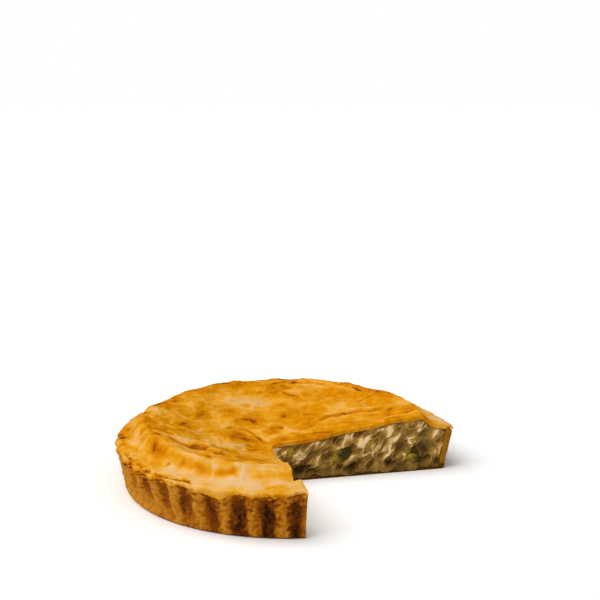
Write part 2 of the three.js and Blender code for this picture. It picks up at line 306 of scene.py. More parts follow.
# Hollows in the first cut face: distance from the apex, height, their two half widths and depth.
HOLLOWS = (
    (113, 17, 7, 5, 4.2),
    (87, 12.5, 4, 5, 0.7),
    (66, 10.5, 7, 3.4, 1.5),
    (37, 21, 5, 3.2, 1.2),
    (17, 8, 12, 6, 1.9),
    (97, 21, 3, 3.5, 1.5),
    (52, 6.5, 7, 2, 1.4),
)

# How much the pastry that the tin or the filling hid has baked, from 0 to 1.
LID_UNDERSIDE_BAKE = 0.35
BASE_BAKE = 0.7
CASE_INSIDE_BAKE = 0.85

# Real sizes of the patterns in the finishes.
WASH_MOTTLE = 6.0 * MM
GLAZE_GRIT = 0.9 * MM
CRACK_SWAY = 14.0 * MM
CRACK_SPACING = 11.0 * MM
BROWNED_STREAK = 4.0 * MM
CRUST_CRUMB = 1.1 * MM
COD_CURD = 3.0 * MM
COD_FIBRE = 0.7 * MM
OLIVE_BLOTCH = 1.5 * MM
HERB_TONE = 2.0 * MM

# Colour sockets of a Mix node: its two inputs and its output.
MIX_FIRST = 6
MIX_SECOND = 7
MIX_RESULT = 2

# The camera's sensor, in millimetres.
SENSOR_WIDTH = 36.0

# How far apart the seeds of the roughness put its samples.
SEED_STRIDE = 17.31

# Seeds of the random draws.
SHRED_SEED = 23
SPECK_SEED = 37
FLAKE_SEED = 41


def linear(hex_colour):
    """Linear colour of an sRGB hex value."""
    shares = [int(hex_colour[i : i + 2], 16) / 255 for i in (1, 3, 5)]
    return tuple(s / 12.92 if s <= 0.04045 else ((s + 0.055) / 1.055) ** 2.4 for s in shares)


def colour(name, description, hex_colour):
    return FloatVectorProperty(
        name=name,
        description=description,
        subtype="COLOR",
        size=3,
        min=0.0,
        max=1.0,
        default=linear(hex_colour),
    )


def number(name, description, default, **extra):
    return FloatProperty(name=name, description=description, default=default, **extra)


def length(name, description, millimetres):
    return number(name, description, millimetres * MM, precision=5, unit="LENGTH")


def angle(name, description, degrees):
    return number(name, description, math.radians(degrees), subtype="ANGLE")


def count(name, description, default):
    return IntProperty(name=name, description=description, default=default, min=0)


class CodPieSizes(PropertyGroup):
    """Sizes of the pie's relief and of its small pieces."""

    lid_step: length("Lid step", "Spacing of the lid's vertices along its rim", 1.05)
    crease_depth: length("Crease depth", "Depth of a lid crease of depth 1", 1.0)
    wrinkle_height: length("Wrinkle height", "Height of the lid's fine wrinkles", 0.75)
    rim_raggedness: length("Rim raggedness", "How far the lid's edge runs in and out", 0.8)
    wall_crag: length("Wall crag", "Depth of the crags in the baked wall", 0.55)
    tear_depth: length("Tear depth", "Depth of the torn filling at the first cut", 1.8)
    shred_count: count("Shreds", "Number of fine cod shreds at the first cut", 110)
    shred_length: length("Shred length", "Mean length of a shred", 8.0)
    shred_width: length("Shred width", "Mean width of a shred", 0.7)
    speck_count: count("Herb specks", "Number of herb specks at the cuts", 48)
    flake_count: count("Pastry flakes", "Number of pastry flakes along the rim", 70)
    flake_length: length("Flake length", "Mean length of a pastry flake", 5.4)


class CodPieColours(PropertyGroup):
    """Colours of the pie's finishes."""

    glaze_pale: colour("Glaze, pale", "Lid where it is least baked", "#dfb47a")
    glaze_light: colour("Glaze, light", "Lid on its shelf and on the lips of folds", "#e2a232")
    glaze_gold: colour("Glaze, gold", "Lid over most of its top", "#d58900")
    glaze_amber: colour("Glaze, amber", "Lid where the glaze is thick", "#c67602")
    glaze_brown: colour("Glaze, brown", "Lid in its creases", "#8f4a03")
    glaze_dark: colour("Glaze, dark", "Lid in slits and under the rim", "#3d1d05")
    crust_cut: colour("Crust, cut", "Pastry where it is cut", "#9a6c16")
    crust_crumb: colour("Crust, crumb", "Wall on its crumbs and crags", "#cb8b28")
    crust_tan: colour("Crust, tan", "Wall on its ridges", "#bb7410")
    crust_brown: colour("Crust, brown", "Wall between ridge and channel", "#864304")
    crust_dark: colour("Crust, dark", "Wall in its channels", "#2f1503")
    cod_cream: colour("Cod, cream", "Creamed filling on a clean cut", "#f8d69c")
    cod_shred: colour("Cod, shred", "Shredded cod that stands proud", "#b88c40")
    cod_hollow: colour("Cod, hollow", "Filling in its hollows", "#3a2604")
    olive_flesh: colour("Olive, flesh", "Olive where it is cut", "#a88c16")
    olive_skin: colour("Olive, skin", "Olive skin and its hollow", "#3c2e04")
    herb: colour("Herb", "Herb and pepper specks", "#8f8f62")
    floor: colour("Floor", "Plain pale floor", "#fcfcfb")


class CodPieStage(PropertyGroup):
    """Camera, floor and light."""

    camera_place: FloatVectorProperty(
        name="Camera place",
        description="Where the camera stands",
        subtype="TRANSLATION",
        default=(0.0, -0.7529, 0.2703),
    )
    camera_pitch: angle("Camera pitch", "How far the camera looks down", 10.447)
    camera_turn: angle("Camera turn", "How far the camera looks to the right", 0.678)
    lens: number("Lens", "Focal length in millimetres", 64.12)
    key_strength: number("Key light", "Strength of the soft key light", 2.25)
    key_height: angle("Key height", "How high the key light stands", 60)
    key_bearing: angle("Key bearing", "Bearing of the key light about the pie", 192)
    key_softness: angle("Key softness", "How wide the key light looks", 60)
    overhead: number("Overhead", "Strength of the light from straight above", 0.9)
    horizon: number("Horizon", "Strength of the light from the sides", 0.12)
    floor_radius: number("Floor radius", "Radius of the floor", 150.0, unit="LENGTH")


def smoothstep(value, low, high):
    share = np.clip((value - low) / (high - low), 0, 1)
    return share * share * (3 - 2 * share)


def lerp(first, second, share):
    return first + (second - first) * share


def hump(distance, width):
    """A hump of height 1 that dies away on both sides over the given width."""
    return np.exp(-((distance / width) ** 2))


def turn_between(start, end):
    """Signed turn from one bearing to another, between -180 and 180 degrees."""
    return (end - start + 180) % 360 - 180


def direction(bearing):
    radians = np.radians(bearing)
    return np.stack((np.cos(radians), np.sin(radians)), axis=-1)


def into_pie(cut):
    """Plan direction from a cut's plane into the pie."""
    return direction(cut + INWARD_TURN[cut])


def out_of_pie(cut):
    """Plan direction from a cut's plane into the open."""
    return direction(cut - INWARD_TURN[cut])


def turned(across, up, radians):
    """Two coordinates of a flat shape after a turn in its plane."""
    cosine, sine = math.cos(radians), math.sin(radians)
    return across * cosine - up * sine, across * sine + up * cosine


def grain(points, size, octaves=1, seed=0.0):
    """Cloudy roughness, about -1 to 1, at points in millimetres, with lumps of the given size."""
    places = (np.asarray(points) / size + seed * SEED_STRIDE).tolist()
    return np.array([noise.fractal(place, 1.0, 2.0, octaves) for place in places])


def cells(points, size, seed=0.0):
    """Distance from the border of a cell, from 0 on the border, and each cell's own tone, from -1 to 1."""
    places = (np.asarray(points) / size + seed * SEED_STRIDE).tolist()
    found = [noise.voronoi(place) for place in places]
    border = np.array([(near[1] - near[0]) * size for near, _ in found])
    return border, np.array([2 * noise.noise(centres[0] * 7.7) for _, centres in found])


def flat_points(x, y, layer=0.0):
    return np.column_stack((x, y, np.full_like(x, layer)))


def rim_points(bearing):
    """Points of the rim's circle at one or more bearings."""
    return flat_points(*(np.atleast_2d(direction(bearing)) * RIM_RADIUS).T)


def full_circle(radius):
    """An outline that has the same radius at every bearing."""
    return lambda bearing: np.full(np.shape(bearing), radius)


def channel(bearing):
    """Depth of the fluting at a bearing: 0 on a ridge, 1 in the middle of a channel."""
    share = ((bearing - FIRST_RIDGE) % (360 / FLUTES)) * FLUTES / 360
    scoop = np.hypot(np.sin(np.pi * share), RIDGE_SOFTNESS) - RIDGE_SOFTNESS
    return scoop / (math.hypot(1, RIDGE_SOFTNESS) - RIDGE_SOFTNESS)


def ridge_radius(height):
    return lerp(BASE_RADIUS, RIM_RADIUS, height / RIM_HEIGHT)


def waves_round(bearing, waves):
    """Sum of waves round the pie, each with its number, height and phase."""
    return sum(tall * np.sin(np.radians(times * bearing + phase)) for times, tall, phase in waves)


def lid_top(x, y):
    """Height of the lid's upper side, without its fine relief."""
    radius = np.hypot(x, y)
    bearing = np.degrees(np.arctan2(y, x))
    ring_radius = RING_RADIUS + LOBE_REACH * hump(turn_between(bearing, LOBE_ANGLE), LOBE_SPREAD)
    ring_height = RING_HEIGHT + RING_TILT * np.cos(np.radians(bearing - RING_HIGH_SIDE))
    from_x = x - SAG_X
    from_y = y - SAG_Y
    reach_in = np.maximum(np.hypot(from_x, from_y), WELD)
    towards = (SAG_X * from_x + SAG_Y * from_y) / reach_in
    spare = ring_radius**2 - SAG_X**2 - SAG_Y**2
    share = reach_in / (np.sqrt(towards**2 + spare) - towards)
    bowl = lerp(SAG_HEIGHT, ring_height, share**BOWL_POWER)
    shelf = RIM_HEIGHT + SHELF_SLOPE * (RIM_RADIUS - radius) + waves_round(bearing, RIM_WAVES)
    outside = lerp(ring_height, shelf, smoothstep(radius, ring_radius, ring_radius + RISER_WIDTH))
    overlap = np.maximum(RING_ROUNDING - np.abs(bowl - outside), 0) / RING_ROUNDING
    height = np.minimum(bowl, outside) - overlap**2 * RING_ROUNDING / 4
    height -= EDGE_DROP * smoothstep(radius, RIM_RADIUS - EDGE_WIDTH, RIM_RADIUS) ** 2
    uneven = sum(ROLL_HEIGHT * np.sin(2 * np.pi * (a * x + b * y) / ROLL_LENGTH) for a, b in ROLLS)
    for fold_radius, width, depth, fold_angle, spread in FOLDS:
        near = hump(radius - fold_radius, width) * hump(turn_between(bearing, fold_angle), spread)
        uneven = uneven - depth * near
    return height + uneven * (1 - smoothstep(radius, RING_RADIUS, RIM_RADIUS))


def lid_level(x, y):
    """Height of the lid's upper side, with its ring a little uneven in plan."""
    radius = np.maximum(np.hypot(x, y), 1)
    around = flat_points(x, y) / radius[:, None] * RING_RADIUS
    swell = 3.6 * grain(around, 34, 2, 23) + 0.6 * grain(around, 12, 1, 24)
    share = 1 + swell * smoothstep(radius, 78, 98) * (1 - smoothstep(radius, 112, 119)) / radius
    heave = 1.6 * grain(flat_points(x, y), 26, 2, 27) * smoothstep(radius, 60, 90)
    # The ring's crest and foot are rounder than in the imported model.
    shifts = [share + off / radius for off in (0, -3.0, -1.5, 1.5, 3.0)]
    levels = [lid_top(x * shift, y * shift) for shift in shifts]
    rounder = smoothstep(radius, 80, 92) * (1 - smoothstep(radius, 112, 117))
    level = lerp(levels[0], sum(levels) / len(levels), rounder)
    along_a, inside_a = from_cut(np.column_stack((x, y)), CUT_A)
    rise = np.interp(along_a, *CUT_RISE) * hump(np.maximum(inside_a, 0), CUT_RISE_WIDTH)
    return level + heave * (1 - smoothstep(radius, 104, 116)) + rise * smoothstep(inside_a, -3, 0)


def lid_level_at(plan):
    """Height of the lid's upper side at one plan point."""
    return float(lid_level(plan[:1], plan[1:])[0])


def cut_thinning(along, inside):
    """How much thinner the lid is beside the first cut, in millimetres."""
    return CUT_THINNING * hump(inside, CUT_THINNING_WIDTH) * (along > 0)


def reach(bearing, radius):
    """Distance from the apex of the cuts, along a bearing, to a circle about the pie's centre."""
    towards = direction(bearing) @ APEX
    return np.sqrt(towards**2 + radius**2 - APEX @ APEX) - towards


def rim_end(cut, radius_at):
    """Bearing, about the pie's centre, of the point where a cut meets an outline."""
    bearing = cut
    for _ in range(6):
        place = APEX + direction(cut) * reach(cut, radius_at(np.array(float(bearing))))
        bearing = math.degrees(math.atan2(place[1], place[0]))
    return bearing % 360


def rim_ends(radius_at):
    """Bearings, about the pie's centre, of the points where the two cuts meet an outline."""
    return [rim_end(cut, radius_at) for cut in (CUT_A, CUT_B)]


def sector_outline(radius_at, steps_a, steps_rim, steps_b):
    """Plan outline of the pie: out along the first cut, round the rim, and back along the second cut."""
    bearings = np.linspace(*rim_ends(radius_at), steps_rim + 1)
    rim = direction(bearings) * radius_at(bearings)[:, None]
    side_a = APEX + (rim[0] - APEX) * np.linspace(0, 1, steps_a, endpoint=False)[:, None]
    # The steps are closest where the lid's ring has broken back.
    evenly = np.linspace(0, 1, 2001)
    break_share = 1 - reach(CUT_B, BREAK_RADIUS) / reach(CUT_B, RIM_RADIUS)
    crowd = np.cumsum(1 + 5 * hump(evenly - break_share, 0.03))
    shares = np.interp(np.linspace(crowd[0], crowd[-1], steps_b + 1), crowd, evenly)
    side_b = rim[-1] + (APEX - rim[-1]) * shares[1:, None]
    return np.concatenate((side_a, rim, side_b))


def from_cut(plan, cut):
    """Distance along a cut from the apex, and distance from its plane into the pie."""
    offset = plan - APEX
    return offset @ direction(cut), offset @ into_pie(cut)


def on_cut(cut, along, up, out):
    """Points at a cut, from their distances along it, up it and out of its plane, in millimetres."""
    plan = APEX + along[:, None] * direction(cut) + out[:, None] * out_of_pie(cut)
    return np.column_stack((plan, up))


def line_distance(x, y, line):
    """Signed distance to a line of plan points, and the share of its length at the nearest point."""
    best = np.full_like(x, np.inf)
    side = np.zeros_like(x)
    share = np.zeros_like(x)
    corners = np.array(line, float)
    lengths = np.hypot(*np.diff(corners, axis=0).T)
    passed = 0.0
    for start, end, long in zip(corners[:-1], corners[1:], lengths):
        unit = (end - start) / long
        along = np.clip((x - start[0]) * unit[0] + (y - start[1]) * unit[1], 0, long)
        off_x = x - start[0] - along * unit[0]
        off_y = y - start[1] - along * unit[1]
        distance = np.hypot(off_x, off_y)
        nearer = distance < best
        best = np.where(nearer, distance, best)
        side = np.where(nearer, np.sign(unit[0] * off_y - unit[1] * off_x), side)
        share = np.where(nearer, (passed + along) / lengths.sum(), share)
        passed += long
    return best * side, share


def grid(columns, rows):
    """A sheet of quads in a bmesh, with each vertex's column and row."""
    bm = bmesh.new()
    bmesh.ops.create_grid(bm, x_segments=columns, y_segments=rows, size=1)
    index = np.arange((columns + 1) * (rows + 1))
    return bm, index % (columns + 1), index // (columns + 1)


def put_vertices(bm, places, **fields):
    """Moves the vertices to their places, in millimetres, and keeps the given fields on them."""
    layers = [(bm.verts.layers.float.new(name), values.tolist()) for name, values in fields.items()]
    for i, (vert, place) in enumerate(zip(bm.verts, (places * MM).tolist())):
        vert.co = place
        for layer, values in layers:
            vert[layer] = values[i]


def close_seams(bm):
    bmesh.ops.remove_doubles(bm, verts=bm.verts, dist=WELD)
    bmesh.ops.dissolve_degenerate(bm, edges=bm.edges, dist=WELD / 10)
    bmesh.ops.recalc_face_normals(bm, faces=bm.faces)


def finish_piece(name, mesh, material, nodes=(), sharp=60):
    """Makes a piece of the pie from a finished mesh."""
    mesh.shade_smooth()
    mesh.set_sharp_from_angle(angle=math.radians(sharp))
    mesh.materials.append(material)
    piece = bpy.data.objects.new(name, mesh)
    bpy.context.scene.collection.objects.link(piece)
    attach(piece, "root")
    if nodes:
        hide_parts(*nodes)
    return piece


def mesh_from(name, bm):
    mesh = bpy.data.meshes.new(name)
    bm.to_mesh(mesh)
    bm.free()
    return mesh


def repeated(name, bm, copies, **fields):
    """One mesh of many copies of a small shape: copies holds each copy's vertices, in millimetres."""
    shape = mesh_from(name + "_shape", bm)
    size = len(shape.vertices)
    joined = bmesh.new()
    for _ in copies:
        joined.from_mesh(shape)
    bpy.data.meshes.remove(shape)
    spread = {field: np.repeat(values, size) for field, values in fields.items()}
    put_vertices(joined, np.concatenate(copies), **spread)
    bmesh.ops.recalc_face_normals(joined, faces=joined.faces)
    return mesh_from(name, joined)


def shape_vertices(bm):
    return np.array([vert.co[:] for vert in bm.verts])


def add_node(tree, kind, sockets=None, out=0, stops=(), **settings):
    """Adds a node with its settings, its sockets' values or links and a ramp's stops; gives one output."""
    node = tree.nodes.new("ShaderNode" + kind)
    for name, value in settings.items():
        setattr(node, name, value)
    for name, value in (sockets or {}).items():
        socket = node.inputs[name]
        if isinstance(value, bpy.types.NodeSocket):
            tree.links.new(value, socket)
        else:
            socket.default_value = value
    for i, (position, shade) in enumerate(stops):
        element = node.color_ramp.elements[i] if i < 2 else node.color_ramp.elements.new(position)
        element.position = position
        element.color = (*shade, 1.0)
    return node.outputs[out] if node.outputs else None


def material_of(finish, colours):
    """The material of a finish, named after the function that makes its shader, and made once."""
    name = finish.__name__
    material = bpy.data.materials.get(name)
    if material is None:
        material = bpy.data.materials.new(name)
        material.use_nodes = True
        tree = material.node_tree
        tree.nodes.clear()
        add_node(tree, "OutputMaterial", {"Surface": finish(tree, colours)})
    return material


def egg_glazed_shortcrust(tree, colours):
    """Lid: shortcrust brushed with egg, so a soft sheen lies over gold that browns in the creases, where the
    bake attribute also paints shade; it paints highlights on the shelf, on lips and raised lines, and shade
    in slits.
    """
    coords = add_node(tree, "TexCoord", out="Object")
    bake = add_node(tree, "Attribute", out="Fac", attribute_name="bake")
    # Mottling of the egg wash, and specks of flour and grit.
    wash = add_node(
        tree, "TexNoise", {"Vector": coords, "Scale": 1 / WASH_MOTTLE, "Detail": 5.0, "Roughness": 0.68}
    )
    grit = add_node(tree, "TexNoise", {"Vector": coords, "Scale": 1 / GLAZE_GRIT, "Detail": 2.0})
    washed = add_node(tree, "Math", {0: wash, 1: 0.66, 2: -0.33}, operation="MULTIPLY_ADD")
    gritty = add_node(tree, "Math", {0: grit, 1: 0.14, 2: -0.07}, operation="MULTIPLY_ADD")
    # Fine pale cracks in the glaze, where the lid has wrinkled.
    crackled = add_node(tree, "Attribute", out="Fac", attribute_name="crackled")
    sway = add_node(tree, "TexNoise", {"Vector": coords, "Scale": 1 / CRACK_SWAY, "Detail": 2.0}, "Color")
    swayed = add_node(
        tree, "VectorMath", {0: sway, 1: (0.012, 0.012, 0.0), 2: coords}, operation="MULTIPLY_ADD"
    )
    border = add_node(
        tree,
        "TexVoronoi",
        {"Vector": swayed, "Scale": 1 / CRACK_SPACING},
        out="Distance",
        feature="DISTANCE_TO_EDGE",
    )
    crack = add_node(
        tree,
        "MapRange",
        {"Value": border, "From Min": 0.008, "From Max": 0.07, "To Min": -0.26, "To Max": 0.0},
    )
    cracked = add_node(tree, "Math", {0: crack, 1: crackled, 2: bake}, operation="MULTIPLY_ADD")
    rough_bake = add_node(tree, "Math", {0: cracked, 1: washed}, operation="ADD")
    baked = add_node(tree, "Math", {0: rough_bake, 1: gritty}, operation="ADD")
    stops = (
        (0.05, colours.glaze_pale),
        (0.95, colours.glaze_dark),
        (0.28, colours.glaze_light),
        (0.5, colours.glaze_gold),
        (0.66, colours.glaze_amber),
        (0.82, colours.glaze_brown),
    )
    shade = add_node(tree, "ValToRGB", {"Fac": baked}, stops=stops)
    sheen = add_node(
        tree, "MapRange", {"Value": wash, "From Min": 0.3, "From Max": 0.7, "To Min": 0.3, "To Max": 0.48}
    )
    bumps = add_node(tree, "Bump", {"Height": grit, "Strength": 0.25, "Distance": 0.0004})
    return add_node(
        tree,
        "BsdfPrincipled",
        {"Base Color": shade, "Roughness": sheen, "Normal": bumps, "IOR": 1.45, "Specular IOR Level": 0.02},
    )


def baked_shortcrust(tree, colours):
    """Case: dry shortcrust, matt and crumbly, dark where it lay in the tin's flutes, browned there and
    darkened further with painted shade, and lightened on its left with painted light.
    """
    coords = add_node(tree, "TexCoord", out="Object")
    bake = add_node(tree, "Attribute", out="Fac", attribute_name="bake")
    # Streaks of browning, drawn upwards, and the crumb.
    drawn = add_node(tree, "VectorMath", {0: coords, 1: (1.0, 1.0, 0.25)}, operation="MULTIPLY")
    streak = add_node(
        tree, "TexNoise", {"Vector": drawn, "Scale": 1 / BROWNED_STREAK, "Detail": 5.0, "Roughness": 0.65}
    )
    crumb = add_node(tree, "TexNoise", {"Vector": coords, "Scale": 1 / CRUST_CRUMB, "Detail": 3.0})
    streaked = add_node(tree, "Math", {0: streak, 1: 0.6, 2: -0.3}, operation="MULTIPLY_ADD")
    crumbly = add_node(tree, "Math", {0: crumb, 1: 0.3, 2: -0.15}, operation="MULTIPLY_ADD")
    rough_bake = add_node(tree, "Math", {0: bake, 1: streaked}, operation="ADD")
    baked = add_node(tree, "Math", {0: rough_bake, 1: crumbly}, operation="ADD")
    stops = (
        (0.05, colours.crust_crumb),
        (0.95, colours.crust_dark),
        (0.35, colours.crust_tan),
        (0.65, colours.crust_brown),
    )
    shade = add_node(tree, "ValToRGB", {"Fac": baked}, stops=stops)
    cut = add_node(tree, "Attribute", out="Fac", attribute_name="crumb")
    cut_shade = add_node(
        tree,
        "Mix",
        {"Factor": cut, MIX_FIRST: shade, MIX_SECOND: (*colours.crust_cut, 1.0)},
        out=MIX_RESULT,
        data_type="RGBA",
    )
    bumps = add_node(tree, "Bump", {"Height": crumb, "Strength": 0.7, "Distance": 0.0007})
    return add_node(
        tree,
        "BsdfPrincipled",
        {
            "Base Color": cut_shade,
            "Roughness": 0.75,
            "Normal": bumps,
            "IOR": 1.45,
            "Specular IOR Level": 0.06,
        },
    )


def creamed_cod(tree, colours):
    """Filling: shredded cod in a thick cream, moist; the hollow attribute paints shade into its hollows, pits
    and foot, and it is paler, partly a painted highlight, where it stands proud.
    """
    coords = add_node(tree, "TexCoord", out="Object")
    hollow = add_node(tree, "Attribute", out="Fac", attribute_name="hollow")
    cream = add_node(tree, "Attribute", out="Fac", attribute_name="cream")
    # Curds, and the fibres in them.
    curd = add_node(
        tree, "TexNoise", {"Vector": coords, "Scale": 1 / COD_CURD, "Detail": 4.0, "Roughness": 0.6}
    )
    fibre = add_node(tree, "TexNoise", {"Vector": coords, "Scale": 1 / COD_FIBRE, "Detail": 2.0})
    curdled = add_node(tree, "Math", {0: curd, 1: 0.5, 2: -0.25}, operation="MULTIPLY_ADD")
    depth = add_node(tree, "Math", {0: hollow, 1: curdled}, operation="ADD")
    stops = ((0.0, colours.cod_cream), (1.0, colours.cod_hollow), (0.22, colours.cod_shred))
    torn = add_node(tree, "ValToRGB", {"Fac": depth}, stops=stops)
    shade = add_node(
        tree,
        "Mix",
        {"Factor": cream, MIX_FIRST: torn, MIX_SECOND: (*colours.cod_cream, 1.0)},
        out=MIX_RESULT,
        data_type="RGBA",
    )
    bumps = add_node(tree, "Bump", {"Height": fibre, "Strength": 0.5, "Distance": 0.0004})
    return add_node(
        tree,
        "BsdfPrincipled",
        {"Base Color": shade, "Roughness": 0.45, "Normal": bumps, "IOR": 1.4, "Specular IOR Level": 0.1},
    )


def green_olive(tree, colours):
    """Olive: oily and smooth, with dark skin and paler flesh where it is cut; the flesh attribute also paints
    light on the upper left and shade in the stone's hollow.
    """
    coords = add_node(tree, "TexCoord", out="Object")
    flesh = add_node(tree, "Attribute", out="Fac", attribute_name="flesh")
    blotch = add_node(tree, "TexNoise", {"Vector": coords, "Scale": 1 / OLIVE_BLOTCH, "Detail": 3.0})
    blotched = add_node(tree, "Math", {0: blotch, 1: 0.5, 2: -0.25}, operation="MULTIPLY_ADD")
    share = add_node(tree, "Math", {0: flesh, 1: blotched}, operation="ADD", use_clamp=True)
    shade = add_node(
        tree,
        "Mix",
        {"Factor": share, MIX_FIRST: (*colours.olive_skin, 1.0), MIX_SECOND: (*colours.olive_flesh, 1.0)},
        out=MIX_RESULT,
        data_type="RGBA",
    )
    return add_node(
        tree,
        "BsdfPrincipled",
        {"Base Color": shade, "Roughness": 0.38, "IOR": 1.45, "Specular IOR Level": 0.12},
    )


def chopped_herb(tree, colours):
    """Herb and pepper specks: dry, dull green, from dark to straw."""
    coords = add_node(tree, "TexCoord", out="Object")
    # The shade changes from speck to speck, so its pattern is coarser than one of them.
    tone = add_node(tree, "TexNoise", {"Vector": coords, "Scale": 1 / HERB_TONE})
    shade = add_node(
        tree,
        "Mix",
        {"Factor": tone, MIX_FIRST: (*colours.olive_flesh, 1.0), MIX_SECOND: (*colours.herb, 1.0)},
        out=MIX_RESULT,
        data_type="RGBA",
    )
    return add_node(
        tree, "BsdfPrincipled", {"Base Color": shade, "Roughness": 0.6, "Specular IOR Level": 0.25}
    )


def matt_floor_paper(tree, colours):
    """Stage floor: matt white paper."""
    return add_node(
        tree,
        "BsdfPrincipled",
        {"Base Color": (*colours.floor, 1.0), "Roughness": 0.95, "Specular IOR Level": 0.0},
    )


def lid_edge_radius(bearing, raggedness):
    """Radius of the lid's flaky edge at a bearing."""
    points = rim_points(bearing)
    ragged = 0.6 * grain(points, 9, 2, 1) + 0.5 * grain(points, 3, 2, 2)
    notch = smoothstep(grain(points, 14, 1, 3), 0.25, 0.5)
    scallop = EDGE_SCALLOP * np.atleast_1d(channel(bearing))
    edge = RIM_RADIUS - scallop + raggedness * (ragged - 1.4 * notch)
    return edge.reshape(np.shape(bearing))


def lid_spill(bearing):
    """How far the lid's edge hangs down over the wall, in millimetres."""
    points = rim_points(bearing)
    hang = 0.9 * (1 - channel(bearing)) ** 2 + 0.5 * grain(points, 4, 2, 19) + 0.4 * grain(points, 1.7, 1, 29)
    for centre, spread, drop in SPILLS:
        hang = hang + drop * hump(turn_between(bearing, centre), spread)
    return np.maximum(hang, 0)


def flakiness(bearing):
    """How flaky the rim is at a bearing, from 0 to 1."""
    return np.clip(sum(hump(turn_between(bearing, centre), spread) for centre, spread in FLAKY_SIDES), 0, 1)


def crease_relief(x, y, points):
    """Relief of the lid's creases, for a depth of 1 mm, and the change in baking along them, with painted
    shade in the grooves and painted highlights on lips and raised lines.
    """
    height = 0 * x
    bake = 0 * x
    for i, (line, width, depth, step, pale) in enumerate(CREASES):
        across, share = line_distance(x, y, line)
        taper = smoothstep(share, 0, 0.2) * (1 - smoothstep(share, 0.8, 1))
        if 0 < depth < 0.9:
            taper = taper * (0.35 + 0.65 * smoothstep(grain(points, 15, 1, 110 + i), -0.25, 0.25))
        groove = hump(across, width) * taper
        lip = (hump(across - 2.2 * width, 1.1 * width) + hump(across + 2.4 * width, 1.3 * width)) * taper
        roll = np.tanh(across / width) * np.exp(-np.abs(across) / 7) * taper
        height += 0.35 * lip * depth - depth * groove + step * roll
        bake += 0.34 * groove * min(depth, 1.1) - 0.24 * pale * lip
    return height, bake


